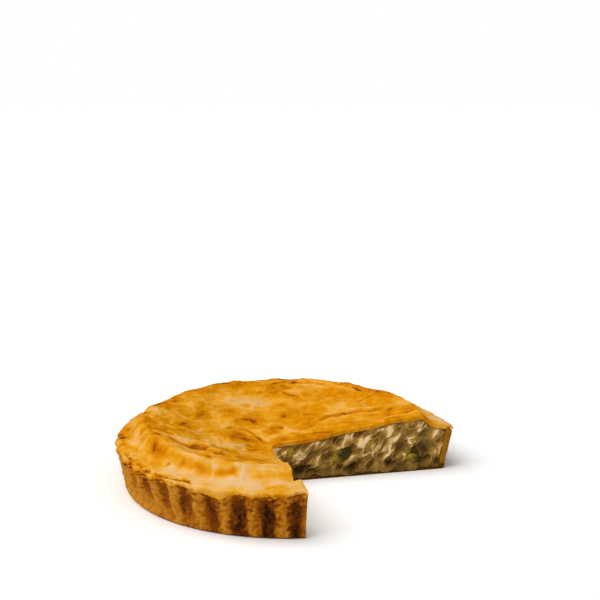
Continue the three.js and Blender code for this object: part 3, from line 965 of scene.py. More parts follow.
def lid_relief(x, y, sizes):
    """Fine relief of the lid's upper side, in millimetres, its baking with painted shade and highlights, and
    how far its glaze has crackled.
    """
    radius = np.hypot(x, y)
    bearing = np.degrees(np.arctan2(y, x))
    around = np.radians((bearing - SEAM_BEARING) % 360) * RING_RADIUS
    points = flat_points(x, y)
    sway_x = 1.6 * grain(points, 13, 2, 4)
    sway_y = 1.6 * grain(points, 13, 2, 5)
    wrinkled = smoothstep(grain(points, 38, 1, 6), -0.35, 0.35) * smoothstep(radius, 20, 60)
    in_ring = 1 - smoothstep(radius, RING_RADIUS - 2, RING_RADIUS + 6)
    shelf = smoothstep(radius, RING_RADIUS + 4, RING_RADIUS + 11)
    off_hub = smoothstep(np.hypot(x - HUB[0], y - HUB[1]), 3, 20)

    # Wrinkles that run round the pie, a net of folds between them, and blisters.
    ripple = grain(flat_points(radius + 2 * sway_x, around / 5), 5.5, 2, 7)
    line = grain(flat_points(radius + 1.5 * sway_y, around / 4), 7.0, 2, 8)
    crack = hump(line, 0.06) * wrinkled * off_hub
    border, tone = cells(points + 2.4 * flat_points(sway_x, sway_y), 17, 9)
    net = hump(border, 1.5) * (0.3 + 0.7 * smoothstep(grain(points, 24, 1, 10), -0.2, 0.3)) * off_hub
    blister = smoothstep(grain(points, 7, 1, 11), 0.3, 0.6)
    crepe = grain(flat_points(radius + sway_x, around / 2), 2.6, 1, 28) * (0.3 + 0.7 * wrinkled) * off_hub
    ripples = ripple * (0.35 + 0.65 * wrinkled) * in_ring
    height = sizes.wrinkle_height / MM * (ripples - 0.5 * crack + 0.5 * blister * in_ring + 0.4 * net)
    height += 0.22 * crepe
    bake = 0.48 + 0.12 * grain(points, 30, 2, 12) + 0.16 * grain(points, 10, 3, 13)
    bake += 0.1 * blister * in_ring - 0.1 * ripple * wrinkled - 0.07 * crack
    bake += (0.3 + 0.7 * in_ring) * (0.14 * tone * smoothstep(border, 0, 3) - 0.15 * net)

    # Pleats on the outer side of the ring.
    riser = smoothstep(radius, RING_RADIUS - 6, RING_RADIUS)
    riser = riser * (1 - smoothstep(radius, RING_RADIUS + 8, RING_RADIUS + 13))
    pleat = grain(flat_points(radius + sway_x, around / 9), 2.2, 1, 25)
    height += 0.4 * riser * pleat
    bake -= 0.12 * riser * pleat

    # The creases carry painted shade in their grooves and painted highlights on their lips and raised lines.
    creased, browning_shade_and_highlight = crease_relief(x + sway_x, y + sway_y, points)
    height += sizes.crease_depth / MM * creased
    bake += browning_shade_and_highlight
    # Some patches are painted: shade along the main crease, and highlights on the shelf and ring.
    for centre_x, centre_y, wide, tall, change in PATCHES:
        bake += change * hump(x + 2 * sway_x - centre_x, wide) * hump(y + 2 * sway_y - centre_y, tall)
    bake = np.clip(bake, 0.17 * in_ring, 0.84)

    # The slits are darkened inside with painted shade.
    for start, end, width, depth in SLITS:
        across, share = line_distance(x + 0.4 * sway_x, y + 0.4 * sway_y, (start, end))
        opening = hump(np.maximum(np.abs(across) - 0.3, 0), width * (0.35 + 0.65 * np.sin(np.pi * share)))
        height -= depth * opening
        bake += 0.5 * opening
    height = np.where(height < 0, 2.0 * np.tanh(height / 2.0), height)

    # Layers of pastry that have parted towards the rim.
    torn = flakiness(bearing)
    flaky = smoothstep(radius, RING_RADIUS + 8, RIM_RADIUS - 4) * (0.25 + 0.75 * torn)
    layer = grain(flat_points(radius, around / 2.2), 4.5, 2, 14) * 2.4
    terrace = np.floor(layer) + smoothstep(layer - np.floor(layer), 0.35, 0.65) - layer
    height += flaky * (0.9 * terrace + 0.4 * grain(points, 2.5, 1, 15))
    bake += flaky * (0.14 * terrace + 0.1 * grain(points, 6, 2, 16) + 0.04)

    # The ring is browner at the back and the left is blotchy; the shelf is paler, partly from flour and
    # partly a painted highlight.
    bake += 0.24 * hump(radius - RING_RADIUS, 6) * smoothstep(y, 40, 80)
    outer_left = hump(turn_between(bearing, 182), 38) * smoothstep(radius, 92, 102)
    bake += outer_left * (0.03 + 0.22 * grain(points, 5, 2, 47))
    flour_and_highlight = smoothstep(grain(points, 17, 1, 17), -0.25, 0.35)
    bake -= shelf * (1 - 0.5 * flaky) * (0.18 + 0.19 * flour_and_highlight)
    bake += (0.2 * torn - 0.1) * smoothstep(radius, RIM_RADIUS - 3.5, RIM_RADIUS)
    crackled = wrinkled * in_ring * smoothstep(grain(points, 20, 1, 22), -0.2, 0.3)
    return height, bake, crackled * (1 - 0.75 * smoothstep(y, 0, 40))


def break_ring(bm):
    """Breaks the lid back from the second cut, from the apex to the ring's foot; the shelf stays whole."""
    ahead = Vector((*direction(CUT_B), 0))
    inward = Vector((*direction(CUT_B - BREAK_TURN + INWARD_TURN[CUT_B]), 0))
    apex = Vector((*APEX, 0)) * MM
    start = apex + ahead * BREAK_START * MM
    end = reach(CUT_B, BREAK_RADIUS) * MM
    foot = apex + ahead * end
    hair = 0.002 * MM

    def beyond(place):
        return (place - start).dot(inward)

    def in_band(face):
        centre = face.calc_center_median()
        return (centre - start).dot(ahead) > 0 and abs(beyond(centre)) < BREAK_BAND * MM

    for through, normal in ((start, inward), (foot, ahead)):
        faces = [face for face in bm.faces if in_band(face)]
        if through == foot:
            faces = [face for face in faces if beyond(face.calc_center_median()) < 0]
        edges = {edge for face in faces for edge in face.edges}
        verts = {vert for face in faces for vert in face.verts}
        geometry = [*faces, *edges, *verts]
        bmesh.ops.bisect_plane(bm, geom=geometry, dist=hair / 20, plane_co=through, plane_no=normal)
    lost = []
    for face in bm.faces:
        centre = face.calc_center_median()
        if in_band(face) and beyond(centre) < 0 and (centre - foot).dot(ahead) < 0:
            lost.append(face)
    bmesh.ops.delete(bm, geom=lost, context="FACES")

    open_edges = [edge for edge in bm.edges if edge.is_boundary]
    open_verts = {vert for edge in open_edges for vert in edge.verts}
    on_line = {vert for vert in open_verts if abs(beyond(vert.co)) < hair}
    on_foot = {vert for vert in open_verts if abs((vert.co - foot).dot(ahead)) < hair}
    corner = bm.edges.new(sorted(on_line & on_foot, key=lambda vert: vert.co.z))
    for chosen in (on_line, on_foot):
        loop = [edge for edge in open_edges if chosen.issuperset(edge.verts)]
        bmesh.ops.triangle_fill(bm, edges=[*loop, corner], use_beauty=True)
    for vert in on_line - on_foot:
        rough = noise.fractal(vert.co / MM / 4, 1.0, 2.0, 2)
        vert.co -= inward * (0.3 + 0.5 * rough) * MM
    bmesh.ops.recalc_face_normals(bm, faces=bm.faces)
    if any(edge.is_boundary for edge in bm.edges):
        raise RuntimeError("the lid's broken side is not closed")


class COD_PIE_OT_pastry_lid(Operator):
    """Model the glazed, wrinkled lid with its raised ring, its broken side and its flaky edge"""

    bl_idname = "cod_pie.pastry_lid"
    bl_label = "Pastry Lid"

    def execute(self, context):
        sizes = context.scene.cod_pie_sizes
        step = sizes.lid_step / MM
        lid_edge = partial(lid_edge_radius, raggedness=sizes.rim_raggedness / MM)
        spacings = (CUT_SPACING * step, step, CUT_SPACING * step)
        outline = sector_outline(lid_edge, *(round(side / gap) for side, gap in zip(LID_SIDES, spacings)))
        rows_top, rows_edge, rows_under = 106, 5, 22
        rows_upper = rows_top + rows_edge
        bm, column, row = grid(len(outline) - 1, rows_upper + rows_under)
        on_edge = (row >= rows_top) & (row <= rows_upper)
        under = row > rows_upper

        under_share = 1 - np.clip((row - rows_upper) / rows_under, 0, 1) ** 1.6
        top_share = 1 - np.abs(1 - row / rows_top) ** 1.3
        share = np.where(row <= rows_top, top_share, np.where(under, under_share, 1.0))
        plan = HUB + share[:, None] * (outline[column] - HUB)
        down = np.clip((row - rows_top) / rows_edge, 0, 1)
        along_a, inside_a = from_cut(plan, CUT_A)
        along_b, inside_b = from_cut(plan, CUT_B)
        radius = np.hypot(*plan.T)
        relief, bake, crackled = lid_relief(*plan.T, sizes)
        height = lid_level(*plan.T)

        # The edge is layered: it bulges at the rim and is worn back at the cuts.
        at_rim = smoothstep(radius, RIM_RADIUS - 6, RIM_RADIUS - 2)
        bulge = np.where(on_edge, np.sin(np.pi * down), 0)
        layers = grain(np.column_stack((plan, LID_THICKNESS * 3 * down)), 3.0, 2, 21)
        out = at_rim * bulge * (0.1 + 0.6 * layers) - (1 - at_rim) * bulge * 0.5 * np.abs(layers)
        away = plan / np.maximum(radius, 1)[:, None]
        edge_out = np.where((at_rim > 0.5)[:, None], away, (outline[column] - HUB) / 100)
        plan = plan + out[:, None] * edge_out

        near_cut = hump(inside_a, 1.4) * (along_a > 0) + hump(inside_b, 1.2) * (along_b > 0)
        droop = CUT_DROOP * np.clip(near_cut, 0, 1) * (1 - at_rim)
        bearing = np.degrees(np.arctan2(plan[:, 1], plan[:, 0]))
        spill = at_rim * lid_spill(bearing)
        thin = lerp(LID_THICKNESS, LID_EDGE_THICKNESS, at_rim) - cut_thinning(along_a, inside_a)
        thick = np.where(under, thin + relief, thin + spill)
        z = height + relief - droop - down * thick
        section = np.sqrt(bulge) * (1 - at_rim)
        # The edge darkens downwards at the rim; beside the first cut the top gets a band of painted shade
        # where it curves down.
        bake = bake + 0.26 * at_rim * down + 0.05 * hump(inside_a, 7) * (along_a > 0) * (1 - section)
        bake = np.where(under, LID_UNDERSIDE_BAKE, bake + 0.3 * layers * section)

        put_vertices(bm, np.column_stack((plan, z)), bake=bake, crackled=crackled)
        close_seams(bm)
        break_ring(bm)
        mesh = mesh_from("pastry_lid_baked", bm)
        material = material_of(egg_glazed_shortcrust, context.scene.cod_pie_colours)
        finish_piece("pastry_lid_baked", mesh, material, ["pastry_lid"])
        return {"FINISHED"}


class COD_PIE_OT_rim_layers(Operator):
    """Model the ragged pastry layers that part along the rim, between the lid and the wall"""

    bl_idname = "cod_pie.rim_layers"
    bl_label = "Rim Layers"

    def execute(self, context):
        material = material_of(egg_glazed_shortcrust, context.scene.cod_pie_colours)
        raggedness = context.scene.cod_pie_sizes.rim_raggedness / MM
        columns, side = 900, 5
        first, last = rim_ends(partial(lid_edge_radius, raggedness=raggedness))
        bearings = np.linspace(first + LAYER_END_GAP, last - LAYER_END_GAP, columns + 1)
        edge = lid_edge_radius(bearings, 0)
        lost = LAYER_LOSS * (1 - flakiness(bearings))
        around = rim_points(bearings)
        for i, (drop, out, ragged) in enumerate(RIM_LAYERS):
            torn = grain(around, 6, 2, 90 + i) + 0.7 * grain(around, 2.2, 1, 94 + i)
            curl = grain(around, 12, 2, 98 + i)
            tips = edge + out + ragged * torn - lost
            bm, column, row = grid(columns, 2 * side + 1)
            below = row > side
            share = np.where(below, 2 * side + 1 - row, row) / side
            radius = lerp(edge[column] - LAYER_ROOT, tips[column], share)
            plan = direction(bearings[column]) * radius[:, None]
            ends = smoothstep(np.minimum(column, columns - column), 0, 3)
            half = LAYER_HALF_THICKNESS * ends * smoothstep(share, 0, 0.4) * (1 - 0.6 * share)
            level = lid_level(*plan.T) - drop - LAYER_DIP * (1 - share)
            level += share**2 * (0.9 * curl[column] - 0.5)
            points = np.column_stack((plan, level))
            z = level + 0.3 * grain(points, 2.0, 2, 102 + i) * share + np.where(below, -half, half)
            bake = 0.36 + 0.05 * drop + 0.14 * share**3 + 0.2 * grain(points, 7, 2, 106 + i)
            put_vertices(bm, np.column_stack((plan, z)), bake=bake)
            close_seams(bm)
            name = f"rim_layer_{i + 1}"
            finish_piece(name, mesh_from(name, bm), material)
        return {"FINISHED"}


def close_case_end(bm, end, turn_row, cut, foot_shade):
    """Bridges the outer and the inner side of the case at a cut, and roughens the pastry there; its last
    argument darkens the foot of the cut with painted shade.
    """
    column, row, bake, crumb = (bm.verts.layers.float[name] for name in ("column", "row", "bake", "crumb"))
    edges = []
    for edge in bm.edges:
        first, second = edge.verts
        rows = sorted((first[row], second[row]))
        if first[column] == second[column] == end and rows != [turn_row, turn_row + 1]:
            edges.append(edge)
    bridge = bmesh.ops.bridge_loops(bm, edges=edges)
    split = bmesh.ops.subdivide_edges(bm, edges=bridge["edges"], cuts=4, use_grid_fill=True)
    push = Vector((*out_of_pie(cut), 0))
    for vert in split["geom_inner"]:
        if isinstance(vert, bmesh.types.BMVert):
            place = vert.co / MM
            lump = noise.fractal(place / 2.5, 1.0, 2.0, 3)
            vert.co += push * (0.35 * lump - 0.1) * MM
            # Painted shade on the foot of the cut, round the base.
            painted_foot_shade = foot_shade * float(1 - smoothstep(place.z, BASE_THICKNESS - 0.5, BASE_THICKNESS + 4))
            vert[bake] = 0.42 + 0.3 * lump + 0.6 * painted_foot_shade
            vert[crumb] = lerp(0.75 - 0.4 * lump, 0.22, painted_foot_shade)


class COD_PIE_OT_pastry_case(Operator):
    """Model the fluted pastry case: flat base, crusty channelled wall and its crumbly cut ends"""

    bl_idname = "cod_pie.pastry_case"
    bl_label = "Pastry Case"

    def execute(self, context):
        crag = context.scene.cod_pie_sizes.wall_crag / MM
        columns, base_rows, wall_rows, rim_rows = 660, 12, 44, 2
        chain = base_rows + wall_rows + rim_rows
        bm, column, row = grid(columns, 2 * chain + 1)
        inner = row > chain
        step = np.where(inner, 2 * chain + 1 - row, row)
        on_base = step < base_rows

        # Each column runs out from the apex along a ray, up the wall and back.
        bearings = np.linspace(*rim_ends(full_circle(RIM_RADIUS)), columns + 1)
        rim = direction(bearings) * RIM_RADIUS - APEX
        ray = np.degrees(np.arctan2(rim[:, 1], rim[:, 0]))[column]
        ray[column == 0] = CUT_A
        ray[column == columns] = CUT_B
        up = np.clip((step - base_rows) / wall_rows, 0, 1)
        low = np.where(inner, BASE_THICKNESS + INNER_FILLET, FOOT_HEIGHT)
        radius = np.where(inner, RIM_RADIUS - WALL_THICKNESS, RIM_RADIUS)
        for _ in range(4):
            plan = APEX + direction(ray) * reach(ray, radius)[:, None]
            bearing = np.degrees(np.arctan2(plan[:, 1], plan[:, 0]))
            ceiling = lid_level(*plan.T) - LID_EDGE_THICKNESS - GAP_UNDER_LID
            z = lerp(low, ceiling - RIM_ROUNDING_HEIGHT, up)
            arch = ARCH_HEIGHT + waves_round(bearing, ARCH_WAVES)
            waver = 0.5 * grain(np.column_stack((plan, 0.5 * z)), 11, 2, 34)
            scoop = channel(bearing + waver)
            fade_low = smoothstep(z, 0, FLUTE_FADE)
            fade_high = 1 - 0.5 * smoothstep(z, arch - 4, arch + 3 * (1 - scoop) + 1)
            fluted = FLUTE_DEPTH * fade_low * fade_high * scoop
            radius = ridge_radius(z) - np.where(inner, WALL_THICKNESS, fluted)

        # Crags on the wall, layers below the rim, and the rounding of the rim.
        points = np.column_stack((plan, z))
        crags = grain(points, 4.0, 3, 30) + 0.8 * grain(points, 1.9, 1, 31)
        layer = grain(np.column_stack((plan / 4, 1.3 * z)), 2.4, 2, 32)
        flaky = smoothstep(z, 20, 29)
        rough = crag * crags * smoothstep(z, 0.5, 4) + flaky * 0.5 * layer
        inland = (column > 0) & (column < columns)
        radius = np.where(inner, radius, radius + rough * np.where(inland, 1.3, 0.3))
        rounding = np.clip((step - base_rows - wall_rows) / rim_rows, 0, 1)
        radius = radius + np.where(inner, 1, -1) * RIM_ROUNDING * rounding
        z = z + RIM_ROUNDING_HEIGHT * np.sqrt(rounding)

        inner_foot = ridge_radius(BASE_THICKNESS) - WALL_THICKNESS - INNER_FILLET
        foot = np.where(inner, inner_foot, BASE_RADIUS - FOOT_INSET)
        base_reach = reach(ray, foot) * np.clip(step / (base_rows - 1), 0, 1) ** 0.8
        distance = np.where(on_base, base_reach, reach(ray, radius))
        z = np.where(on_base, np.where(inner, BASE_THICKNESS, 0.0), z)
        plan = APEX + direction(ray) * distance[:, None]

        # The channels are dark, browned where they lay in the tin and darkened further with painted shade,
        # most of all high up under the rim on the left and low down on the right. Painted shade also darkens
        # the right of the wall a little, and the wall is lighter next to the second cut.
        ragged = scoop + 0.15 * grain(np.column_stack((plan, 0.4 * z)), 3.2, 2, 36)
        right = smoothstep(turn_between(-140, bearing), 0, 45)
        shade_under_rim = 0.55 + 0.5 * smoothstep(z, 4, 19)
        shade_towards_foot = 1 - 0.5 * smoothstep(z, arch - 10, arch + 2)
        dark = smoothstep(ragged, 0.0, 1.05) ** 1.2 * lerp(shade_under_rim, shade_towards_foot, right)
        bake = 0.29 + 0.7 * dark + 0.12 * layer * flaky + right * 0.06
        mottle = 0.1 * grain(points, 22, 2, 33) + 0.12 * grain(points, 6, 2, 35)
        mottle += 0.24 * grain(points, 2.4, 2, 37)
        bake += (mottle - 0.16 * crags) * (1.5 - 1.1 * dark)
        # Painted light from the key lightens the left of the wall, most of all in its channels.
        left = hump(turn_between(bearing, 185), 58)
        bake -= left * (0.17 + 0.42 * np.clip(ragged, 0, 1)) + 0.3 * hump(columns - column, 6)
        bake = np.where(inner, CASE_INSIDE_BAKE, np.where(on_base, BASE_BAKE, bake))

        put_vertices(bm, np.column_stack((plan, z)), bake=bake, crumb=0 * z, column=column, row=row)
        # Only the first cut gets painted shade at its foot.
        close_case_end(bm, 0, chain, CUT_A, foot_shade=1.0)
        close_case_end(bm, columns, chain, CUT_B, foot_shade=0.0)
        for name in ("column", "row"):
            bm.verts.layers.float.remove(bm.verts.layers.float[name])
        close_seams(bm)
        mesh = mesh_from("pastry_case_baked", bm)
        material = material_of(baked_shortcrust, context.scene.cod_pie_colours)
        finish_piece("pastry_case_baked", mesh, material, ["pastry_case"], sharp=50)
        return {"FINISHED"}


def tear(along, up):
    """Slow unevenness of a cut, from -1 to 1."""
    depth = 0 * along
    for across, upwards, share, phase in TEAR_WAVES:
        turns = (across * along + upwards * up) / TEAR_LENGTH
        depth = depth + share * np.sin(2 * np.pi * turns + math.radians(phase))
    return depth


def broken_back(along, up):
    """How far the second cut leans back under the broken ring of the lid, in millimetres."""
    end = reach(CUT_B, BREAK_RADIUS)
    lean = np.maximum(along - BREAK_START, 0) * math.tan(math.radians(BREAK_TURN)) * smoothstep(up, 20, 30)
    return lean * (1 - smoothstep(along, end - BREAK_SOFTNESS, end + BREAK_SOFTNESS))


def clean_face(along, up):
    """How far the second cut face lies back, in millimetres, at a distance from the apex and a height."""
    return 0.7 * tear(along, up) * smoothstep(along, 0, TEAR_FREE_LENGTH)


def torn_face(along, up, deep):
    """How far the first cut face lies back, in millimetres, at a distance from the apex and a height."""
    points = flat_points(along, up)
    swayed = points + 2.4 * flat_points(grain(points, 9, 2, 40), grain(points, 9, 2, 41))
    with_fibre = swayed[:, :2] @ direction(FIBRE_LIE)
    across_fibre = swayed[:, :2] @ direction(FIBRE_LIE + 90)
    lie = flat_points(across_fibre, with_fibre / 2.2)
    strand = 1 - smoothstep(np.abs(grain(lie, 5.5, 1, 42)), 0, 0.24)
    thread = 1 - smoothstep(np.abs(grain(lie, 2.8, 1, 44)), 0, 0.24)
    lump = np.abs(grain(swayed, 11, 1, 43))
    hair = 1 - smoothstep(np.abs(grain(flat_points(across_fibre, with_fibre / 4), 1.3, 1, 46)), 0, 0.3)
    depth = deep * tear(along, up) * smoothstep(along, 0, TEAR_FREE_LENGTH)
    depth = depth + 1.9 - 1.5 * strand - 0.7 * thread - 1.5 * lump - 0.35 * hair
    for start, end, wide in LONG_SHREDS:
        across, share = line_distance(*swayed[:, :2].T, (start, end))
        depth = depth - 1.5 * hump(across, wide / 2) * np.sin(np.pi * share)
    for centre, height, wide, tall, hollow in HOLLOWS:
        depth = depth + hollow * hump(along - centre, wide) * hump(up - height, tall)
    # The face lies back round the olives, so that they show.
    for _, centre, height, wide, tall, turn in OLIVES_A:
        offset = np.column_stack((along - centre, up - height))
        beside = np.hypot(offset @ direction(turn) / wide, offset @ direction(turn + 90) / tall)
        depth = lerp(depth, np.maximum(depth, 0.7), 1 - smoothstep(beside, 0.45, 0.7))
    limit = np.where(depth > 1, 2.2, 2.4)
    return 1 + limit * np.tanh((depth - 1) / limit)


class COD_PIE_OT_cod_filling(Operator):
    """Model the filling: torn flakes of cod on the first cut, and a clean creamy second cut"""

    bl_idname = "cod_pie.cod_filling"
    bl_label = "Cod Filling"

    def execute(self, context):
        deep = context.scene.cod_pie_sizes.tear_depth / MM
        side_rows, steps_a, steps_rim, steps_b = 84, 430, 90, 170
        top_shares = 1 - (1 - np.linspace(0, 1, 19)) ** 1.6
        base_shares = np.array((0.9, 0.6, 0.3, 0.0))
        top_rows = len(top_shares) - 1
        set_in = WALL_THICKNESS - INTO_WALL
        outline = sector_outline(full_circle(RIM_RADIUS - set_in), steps_a, steps_rim, steps_b)
        bm, column, row = grid(len(outline) - 1, top_rows + side_rows + len(base_shares))
        shares = np.concatenate((top_shares, np.ones(side_rows), base_shares))
        drops = np.concatenate((0 * top_shares, np.arange(1, side_rows + 1) / side_rows, 1 + 0 * base_shares))
        share = shares[row]
        drop = drops[row]

        plan = HUB + share[:, None] * (outline[column] - HUB)
        along_a, inside_a = from_cut(plan, CUT_A)
        along_b, inside_b = from_cut(plan, CUT_B)
        radius = np.hypot(*plan.T)
        ceiling = lid_level(*plan.T) - LID_THICKNESS + INTO_LID + cut_thinning(along_a, inside_a)
        ceiling -= 2.0 * smoothstep(1 - share, 0.005, 0.08)
        # A little filling is missing behind the broken ring's foot.
        gone = hump(along_b - reach(CUT_B, BREAK_RADIUS), 4) * (1 - smoothstep(inside_b, 1, 5))
        ceiling = lerp(ceiling, np.minimum(ceiling, RIM_HEIGHT - 3.5), np.clip(1.5 * gone, 0, 1))
        z = lerp(ceiling, BASE_THICKNESS - INTO_BASE, drop)
        # The wall flares, so the filling is narrower at its base.
        plan = plan * np.minimum(1, (ridge_radius(z) - set_in) / np.maximum(radius, 1))[:, None]

        along_a, inside_a = from_cut(plan, CUT_A)
        along_b, inside_b = from_cut(plan, CUT_B)
        side = (row >= top_rows) & (drop <= 1) & (share == 1)
        on_a = side & (np.abs(inside_a) < 0.5) & (along_a >= 0)
        on_b = side & (np.abs(inside_b) < 0.5) & (along_b > 0) & ~on_a
        plan[on_a] -= inside_a[on_a, None] * into_pie(CUT_A)
        plan[on_b] -= inside_b[on_b, None] * into_pie(CUT_B)
        lean = broken_back(along_b, z) * np.clip(1 - inside_b / BREAK_BAND, 0, 1)
        plan = plan + lean[:, None] * into_pie(CUT_B)
        hollow = np.full(len(z), 0.4)
        cream = np.where(row < top_rows, 0.2, 0.0)

        # The first cut is torn, and some filling has smeared down over the cut edge of the base.
        along, up, down = along_a[on_a], z[on_a], drop[on_a]
        ends = smoothstep(along, 0.5, 6) * (1 - 0.4 * smoothstep(along, 124, 132))
        edges = smoothstep(down, 0, 0.1) * (1 - smoothstep(down, 0.8, 1))
        depth = torn_face(along, up, deep) * ends * (0.25 + 0.75 * edges)
        depth += 0.9 * (1 - smoothstep(down, 0.02, 0.12)) * ends
        # Painted shade: the torn face darkens in its hollows, just under the lid and towards its foot; it is
        # paler high up in two places.
        low = 1 - smoothstep(up, BASE_THICKNESS, 15)
        pale = 0.1 * hump(along - 84, 22) * smoothstep(up, 10, 22)
        pale += 0.26 * hump(along - 6, 9) * smoothstep(up, 14, 20)
        hollow[on_a] = np.clip(0.2 + 0.25 * depth + 0.44 * low - pale, -0.1, 1.1)
        smear = np.clip(1.2 + 2.6 * grain(flat_points(along, 0 * along), 7, 2, 52), 0, 3.2)
        at_base = smoothstep(down, 0.86, 1) * ends
        set_back = depth - (depth + 0.5) * at_base * np.minimum(smear, 1)
        plan[on_a] += set_back[:, None] * into_pie(CUT_A)
        z[on_a] -= smear * at_base

        # The second cut is clean and creamy, with a few pits that get painted shade.
        along, up = along_b[on_b], z[on_b]
        points = np.column_stack((plan[on_b], up))
        pit = smoothstep(grain(points, 2.6, 2, 51), 0.3, 0.55)
        set_back = clean_face(along, up) - 0.6 * grain(points, 5, 3, 50) + 0.7 * pit
        set_back *= smoothstep(along, 0.5, 4)
        plan[on_b] += set_back[:, None] * into_pie(CUT_B)
        hollow[on_b] = 0.1 + 0.3 * pit
        cream[on_b] = 0.85 - 0.25 * pit

        put_vertices(bm, np.column_stack((plan, z)), hollow=hollow, cream=cream)
        close_seams(bm)
        mesh = mesh_from("cod_filling_cut", bm)
        material = material_of(creamed_cod, context.scene.cod_pie_colours)
        finish_piece("cod_filling_cut", mesh, material, ["filling"], sharp=180)
        return {"FINISHED"}


class COD_PIE_OT_cod_shreds(Operator):
    """Lay loose shreds of cod over the torn first cut"""

    bl_idname = "cod_pie.cod_shreds"
    bl_label = "Cod Shreds"

    def execute(self, context):
        sizes = context.scene.cod_pie_sizes
        draw = random.Random(SHRED_SEED)
        bm = bmesh.new()
        bmesh.ops.create_uvsphere(bm, u_segments=6, v_segments=9, radius=1)
        shape = shape_vertices(bm)
        lengthways = shape[:, 2]
        copies = []
        hollows = []
        while len(copies) < sizes.shred_count:
            middle_along, middle_up = draw.uniform(*FIRST_CUT_STRETCH), draw.uniform(*SHRED_HEIGHTS)
            lie = math.radians(FIBRE_LIE + draw.gauss(0, 25))
            long = sizes.shred_length / MM * draw.uniform(0.5, 1.4)
            thick = sizes.shred_width / MM * draw.uniform(0.6, 1.3)
            spine = 0.5 * long * lengthways
            swing = draw.uniform(0.2, 0.7)
            wave = swing * np.sin(math.pi * draw.uniform(0.6, 1.4) * lengthways + draw.uniform(0, 6))
            curve = draw.uniform(-0.03, 0.03) * spine**2 + wave + 0.5 * thick * shape[:, 0]
            along, up = turned(spine, curve, lie)
            along, up = middle_along + along, middle_up + up
            ceiling = lid_level(*(APEX + along[:, None] * direction(CUT_A)).T) - LID_THICKNESS - 1.5
            clear = along.min() > 5 and along.max() < 125
            clear = clear and up.min() > BASE_THICKNESS + 1 and (up < ceiling).all()
            for _, olive_along, olive_up, olive_long, olive_wide, _ in OLIVES_A:
                beside = np.hypot((along - olive_along) / olive_long, (up - olive_up) / olive_wide)
                clear = clear and beside.min() > 0.7
            if not clear:
                continue
            depth = torn_face(along, up, sizes.tear_depth / MM)
            bed = np.polyval(np.polyfit(lengthways, depth, 5), lengthways)
            proud = shape[:, 1] * thick * 0.5 - bed - draw.uniform(0, 0.35) * thick
            copies.append(on_cut(CUT_A, along, up, proud))
            # Shreds that lie deeper get more painted shade.
            hollows.append(float(np.clip(0.2 + 0.25 * bed.mean() + draw.uniform(-0.16, 0.04), -0.1, 0.8)))
        mesh = repeated("cod_shreds", bm, copies, hollow=hollows, cream=np.zeros(len(copies)))
        material = material_of(creamed_cod, context.scene.cod_pie_colours)
        finish_piece("cod_shreds", mesh, material, sharp=180)
        return {"FINISHED"}


class COD_PIE_OT_olive_pieces(Operator):
    """Model the olive pieces: cut open, with the stone's hollow in the flesh at the second cut"""

    bl_idname = "cod_pie.olive_pieces"
    bl_label = "Olive Pieces"

    def execute(self, context):
        material = material_of(green_olive, context.scene.cod_pie_colours)
        for i, (cut, along, up, long, wide, turn) in enumerate(OLIVES):
            bm = bmesh.new()
            bmesh.ops.create_uvsphere(bm, u_segments=36, v_segments=24, radius=0.5)
            shape = shape_vertices(bm)
            # The sphere's pole faces out of the cut.
            side, rise, face = shape[:, 0], shape[:, 1], 2 * shape[:, 2]
            lumps = 1.12 + 0.32 * grain(shape, 0.5, 2, 60 + i)
            open_share = 1.0 if cut == CUT_B else 0.0
            flat = np.minimum(face, lerp(0.55, 0.36, open_share) + 0.2 * grain(shape, 0.35, 2, 70 + i))
            middle = np.hypot(side * 1.1, rise)
            stone = hump(middle, 0.21) * smoothstep(face, 0, 0.4)
            # Painted light: the first cut's pieces are paler towards their upper left, where the key falls;
            # the second cut's piece gets painted shade in the stone's hollow.
            tone_and_painted_light = OLIVE_TONES[i] - 1.5 * side + 0.5 * rise + 0.5 * grain(shape, 0.3, 2, 74 + i)
            flesh = smoothstep(face, 0.2, 0.45) * lerp(tone_and_painted_light, 1 - 0.9 * hump(middle, 0.24), open_share)
            across, tall = turned(side * long * lumps, rise * wide * lumps, math.radians(turn))
            sunk = OLIVE_SET_BACK + 1 - open_share
            out = (flat - 0.55 * open_share * stone) * OLIVE_DEPTH / 2 * 0.9 - sunk
            put_vertices(bm, on_cut(cut, along + across, up + tall, out), flesh=flesh)
            bmesh.ops.recalc_face_normals(bm, faces=bm.faces)
            name = f"olive_piece_{i + 1}"
            finish_piece(name, mesh_from(name, bm), material, [f"olive_{i + 1}"])
        return {"FINISHED"}


